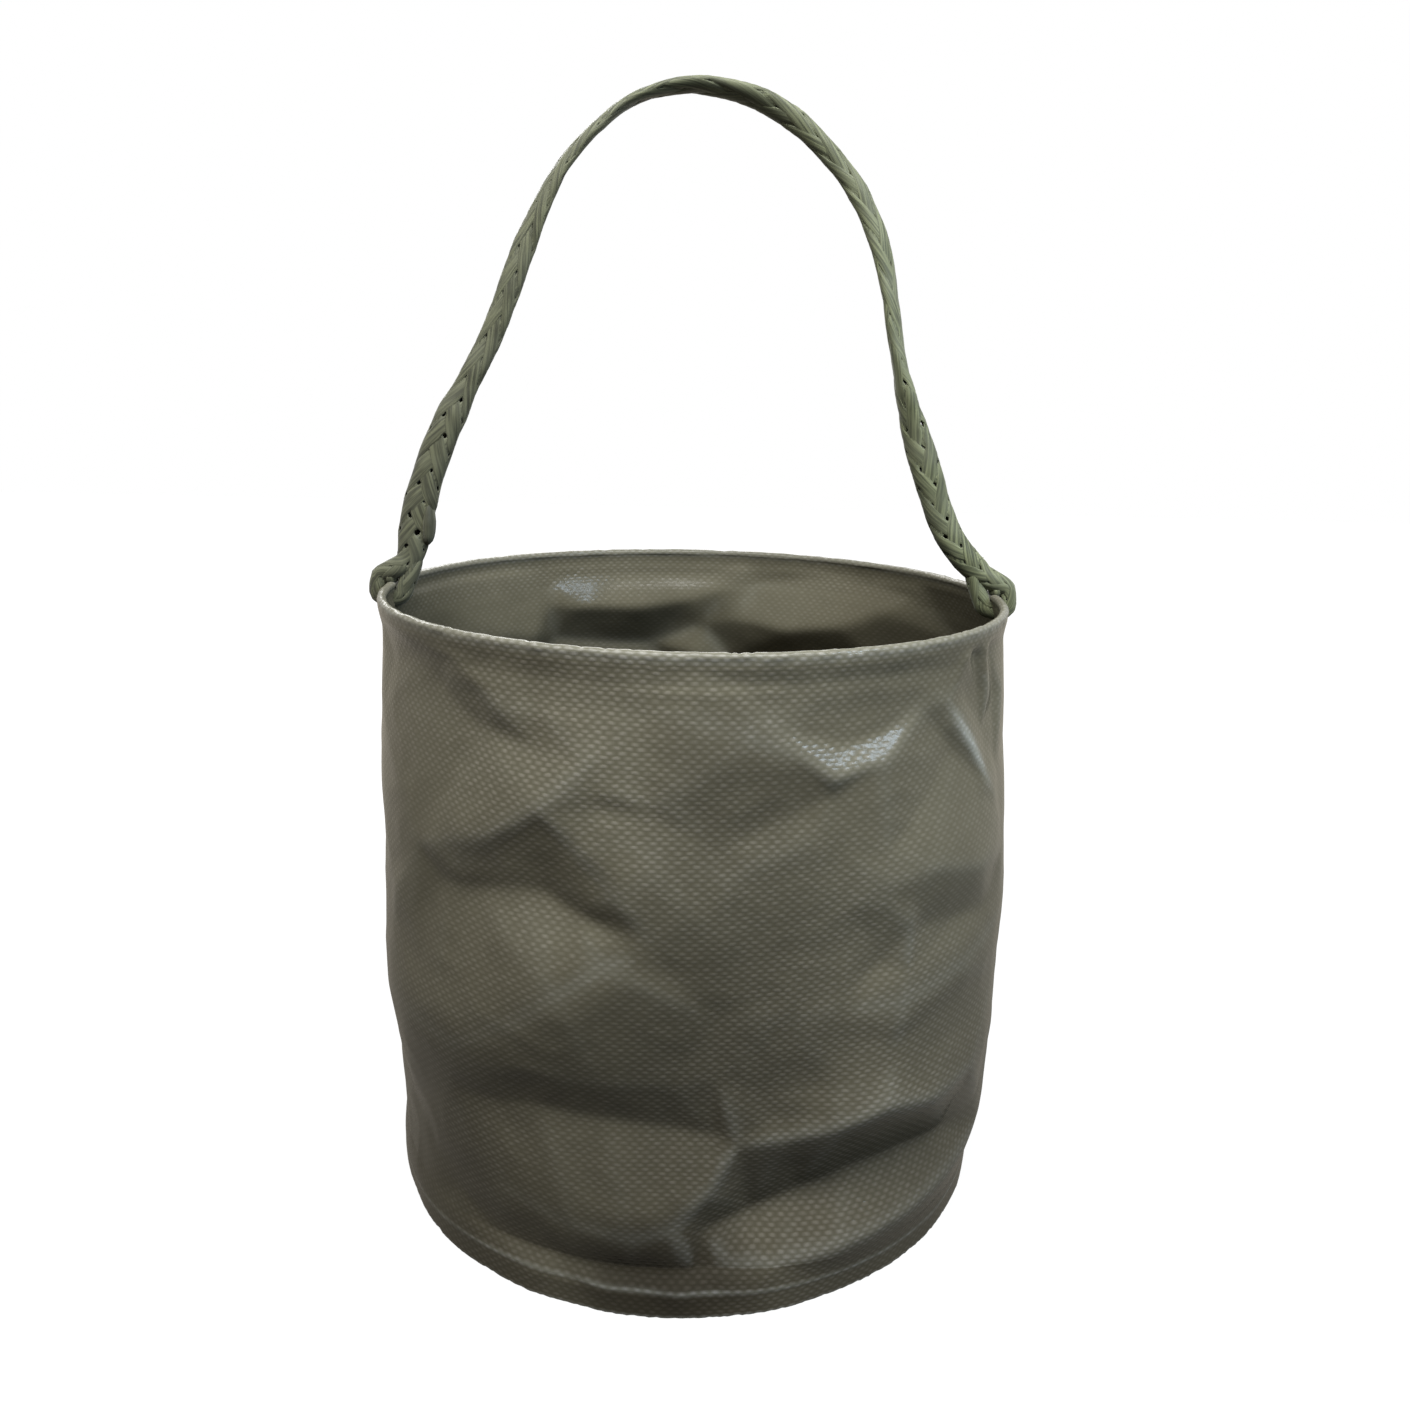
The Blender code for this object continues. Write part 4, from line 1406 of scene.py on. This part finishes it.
def make_rope_finish():
    """Sage green fibres with fine streaks."""
    finish, shader = new_finish("rope_fibre")
    uv = add(finish, "UVMap", uv_map="UVMap").outputs[0]
    place = add(finish, "TexCoord").outputs["Object"]
    stretched = add(finish, "Mapping", {"Vector": uv, "Scale": FIBRE_STRETCH}).outputs[0]
    streaks = {"Vector": stretched, "Scale": 1.0, "Detail": 2.5, "Roughness": 0.6}
    fibre = add(finish, "TexNoise", streaks).outputs["Fac"]
    tone = remap(finish, fibre, 0.40, 0.60, 0.0, 1.0)
    across = add(finish, "SeparateXYZ", {0: place}).outputs[0]
    # Painted light and shade: the rope's colour goes from shaded at the left to lit at the right.
    painted_light_share = remap(finish, across, -0.08, 0.08, 0.0, 1.0)
    dark = blend_colours(finish, painted_light_share, ROPE_DARK_IN_PAINTED_SHADE, ROPE_DARK_IN_PAINTED_LIGHT)
    light = blend_colours(finish, painted_light_share, ROPE_LIGHT_IN_PAINTED_SHADE, ROPE_LIGHT_IN_PAINTED_LIGHT)
    colour = blend_colours(finish, tone, dark, light)
    worn = remap(finish, speckle(finish, place, 60.0, 3.0), 0.4, 0.7, 0.0, 0.35)
    plug(finish, shader, "Base Color", blend_colours(finish, worn, colour, ROPE_WORN))
    bump = add(finish, "Bump", {"Strength": 0.45, "Distance": 0.00012, "Height": fibre})
    plug(finish, shader, "Normal", bump.outputs[0])
    shader.inputs["Roughness"].default_value = 0.60
    shader.inputs["Specular IOR Level"].default_value = 0.30
    shader.inputs["Sheen Weight"].default_value = 0.12
    return finish


rope_fibre = make_rope_finish()
print("nodes in the rope's finish:", len(rope_fibre.node_tree.nodes))

# %% [markdown]
# ### The hoop
# Drawn and zinc plated spring wire, hidden in the bead. Nothing of it shows, so it keeps its CAD
# shape and only gets a finish, with small duller and brighter spots.

# %% Hoop finish
WIRE_DULL = (0.42, 0.42, 0.40, 1.0)
WIRE_BRIGHT = (0.62, 0.62, 0.61, 1.0)


def make_wire_finish():
    """Plated steel wire."""
    finish, shader = new_finish("plated_wire")
    place = add(finish, "TexCoord").outputs["Object"]
    spots = speckle(finish, place, 900.0, 3.0)
    plug(finish, shader, "Base Color", blend_colours(finish, spots, WIRE_DULL, WIRE_BRIGHT))
    plug(finish, shader, "Roughness", remap(finish, spots, 0.3, 0.7, 0.28, 0.45))
    shader.inputs["Metallic"].default_value = 1.0
    return finish


plated_wire = make_wire_finish()
print("nodes in the wire's finish:", len(plated_wire.node_tree.nodes))

# %% [markdown]
# The new pieces have no material yet, so each one gets its finish in a slot of its own. The hoop
# came with slots from the CAD model, and only what is in them changes.

# %% Paint the pieces
def paint(piece, finish):
    """Give a piece one finish in all its slots."""
    piece.data.materials.clear()
    piece.data.materials.append(finish)


for piece in (wall, skirt, panel, band):
    paint(piece, coated_fabric)
paint(rope, rope_fibre)
for hoop_slot in nodes["rim_hoop"].material_slots:
    hoop_slot.material = plated_wire
print("slots on the hoop:", len(nodes["rim_hoop"].material_slots))

# %% [markdown]
# ## Floor and light
# The background of the photo is plain white. The floor and the backdrop glow white where they are
# looked at, and give the bucket itself little light. The floor is a little darker near the bucket,
# and in reflections it is painted much darker there, as the bucket's shadow.
# One wide lamp hangs above the front, as over a studio table, so each fold that looks up is light
# and each that looks down is dark. A small cool lamp stands to the right of the camera, and makes
# the glints. A third one lights the back.

# %% What sees the backdrop
WHITE = (1.0, 1.0, 1.0, 1.0)


def seen_directly(owner, rays):
    """1 for the camera, for mirrored views and for views through clear things, otherwise 0."""
    seen = maths(owner, "MAXIMUM", rays["Is Camera Ray"], rays["Is Glossy Ray"])
    return maths(owner, "MAXIMUM", seen, rays["Is Transmission Ray"])


# %% Floor
FLOOR_SIZE = 6.0
FLOOR_GREY = (0.04, 0.04, 0.04, 1.0)
FLOOR_MIRRORED = (1.0, 0.90, 0.74, 1.0)

bpy.ops.object.select_all(action="DESELECT")
bpy.ops.mesh.primitive_plane_add(size=FLOOR_SIZE, location=(0.0, 0.0, 0.0))
floor = bpy.context.object
floor.name = "studio_floor"
floor_finish, floor_shader = new_finish("studio_floor")
floor_shader.inputs["Base Color"].default_value = FLOOR_GREY
floor_shader.inputs["Roughness"].default_value = 0.9
rays = add(floor_finish, "LightPath").outputs
mirrored = rays["Is Glossy Ray"]
floor_tint = blend_colours(floor_finish, mirrored, WHITE, FLOOR_MIRRORED)
plug(floor_finish, floor_shader, "Emission Color", floor_tint)
floor_place = add(floor_finish, "TexCoord").outputs["Object"]
from_middle = add(floor_finish, "VectorMath", {0: floor_place}, operation="LENGTH")
from_middle = from_middle.outputs["Value"]
glow = remap(floor_finish, from_middle, 0.20, 0.6, 0.93, 1.0)
# Painted shadow: in reflections the floor near the bucket is darker, as the bucket's shadow.
mirrored_glow_painted_shadow = remap(floor_finish, from_middle, 0.15, 0.7, 0.45, 1.0)
shade = times(floor_finish, mirrored, maths(floor_finish, "SUBTRACT", glow, mirrored_glow_painted_shadow))
glow = maths(floor_finish, "SUBTRACT", glow, shade)
glow = times(floor_finish, seen_directly(floor_finish, rays), glow)
plug(floor_finish, floor_shader, "Emission Strength", glow)
paint(floor, floor_finish)
print("nodes in the floor's finish:", len(floor_finish.node_tree.nodes))

# %% Backdrop and lamps
BACKDROP_LIGHT = 0.03

world = bpy.data.worlds.new("studio")
bpy.context.scene.world = world
world.use_nodes = True
backdrop = world.node_tree.nodes["Background"]
backdrop.inputs["Color"].default_value = WHITE
backdrop_seen = seen_directly(world, add(world, "LightPath").outputs)
plug(world, backdrop, "Strength", remap(world, backdrop_seen, 0.0, 1.0, BACKDROP_LIGHT, 1.0))


def add_lamp(name, place, aim, size, power, colour=WHITE[:3]):
    """A soft rectangular lamp that points at a place. size is its width and its depth."""
    bpy.ops.object.light_add(type="AREA", location=place)
    lamp = bpy.context.object
    lamp.name = name
    lamp.data.shape = "RECTANGLE"
    lamp.data.size, lamp.data.size_y = size
    lamp.data.energy = power
    lamp.data.color = colour
    towards = Vector(aim) - Vector(place)
    lamp.rotation_euler = towards.to_track_quat("-Z", "Y").to_euler()


add_lamp("lamp_above", (0.0, -0.46, 1.02), (0.0, -0.05, 0.10), (1.20, 0.30), 24.3)
add_lamp("lamp_behind", (-0.25, 0.95, 0.75), (0.0, 0.0, 0.12), (0.80, 0.50), 11.0)
add_lamp("lamp_cool", (0.80, -0.54, 0.70), (0.0, 0.0, 0.18), (0.20, 0.20), 6.2, (0.64, 0.80, 1.0))
print("lamps:", len(bpy.data.lights))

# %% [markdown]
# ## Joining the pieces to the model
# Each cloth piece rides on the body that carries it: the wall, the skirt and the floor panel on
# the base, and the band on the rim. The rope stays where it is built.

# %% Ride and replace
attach(wall, "base")
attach(skirt, "base")
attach(panel, "base")
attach(band, "rim")
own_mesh(wall)
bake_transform(rope)
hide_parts("wall_panel")
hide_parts("base_panel")
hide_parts("rim_band")
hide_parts("left_rope_eye", "right_rope_eye", "handle_rope")

# %% [markdown]
# The wall and its skirt are one strip: once round, plus the lap. The floor panel is a round sheet
# with its turned edge on both sides.

# %% Look and finish
bpy.context.scene.view_settings.view_transform = "Standard"
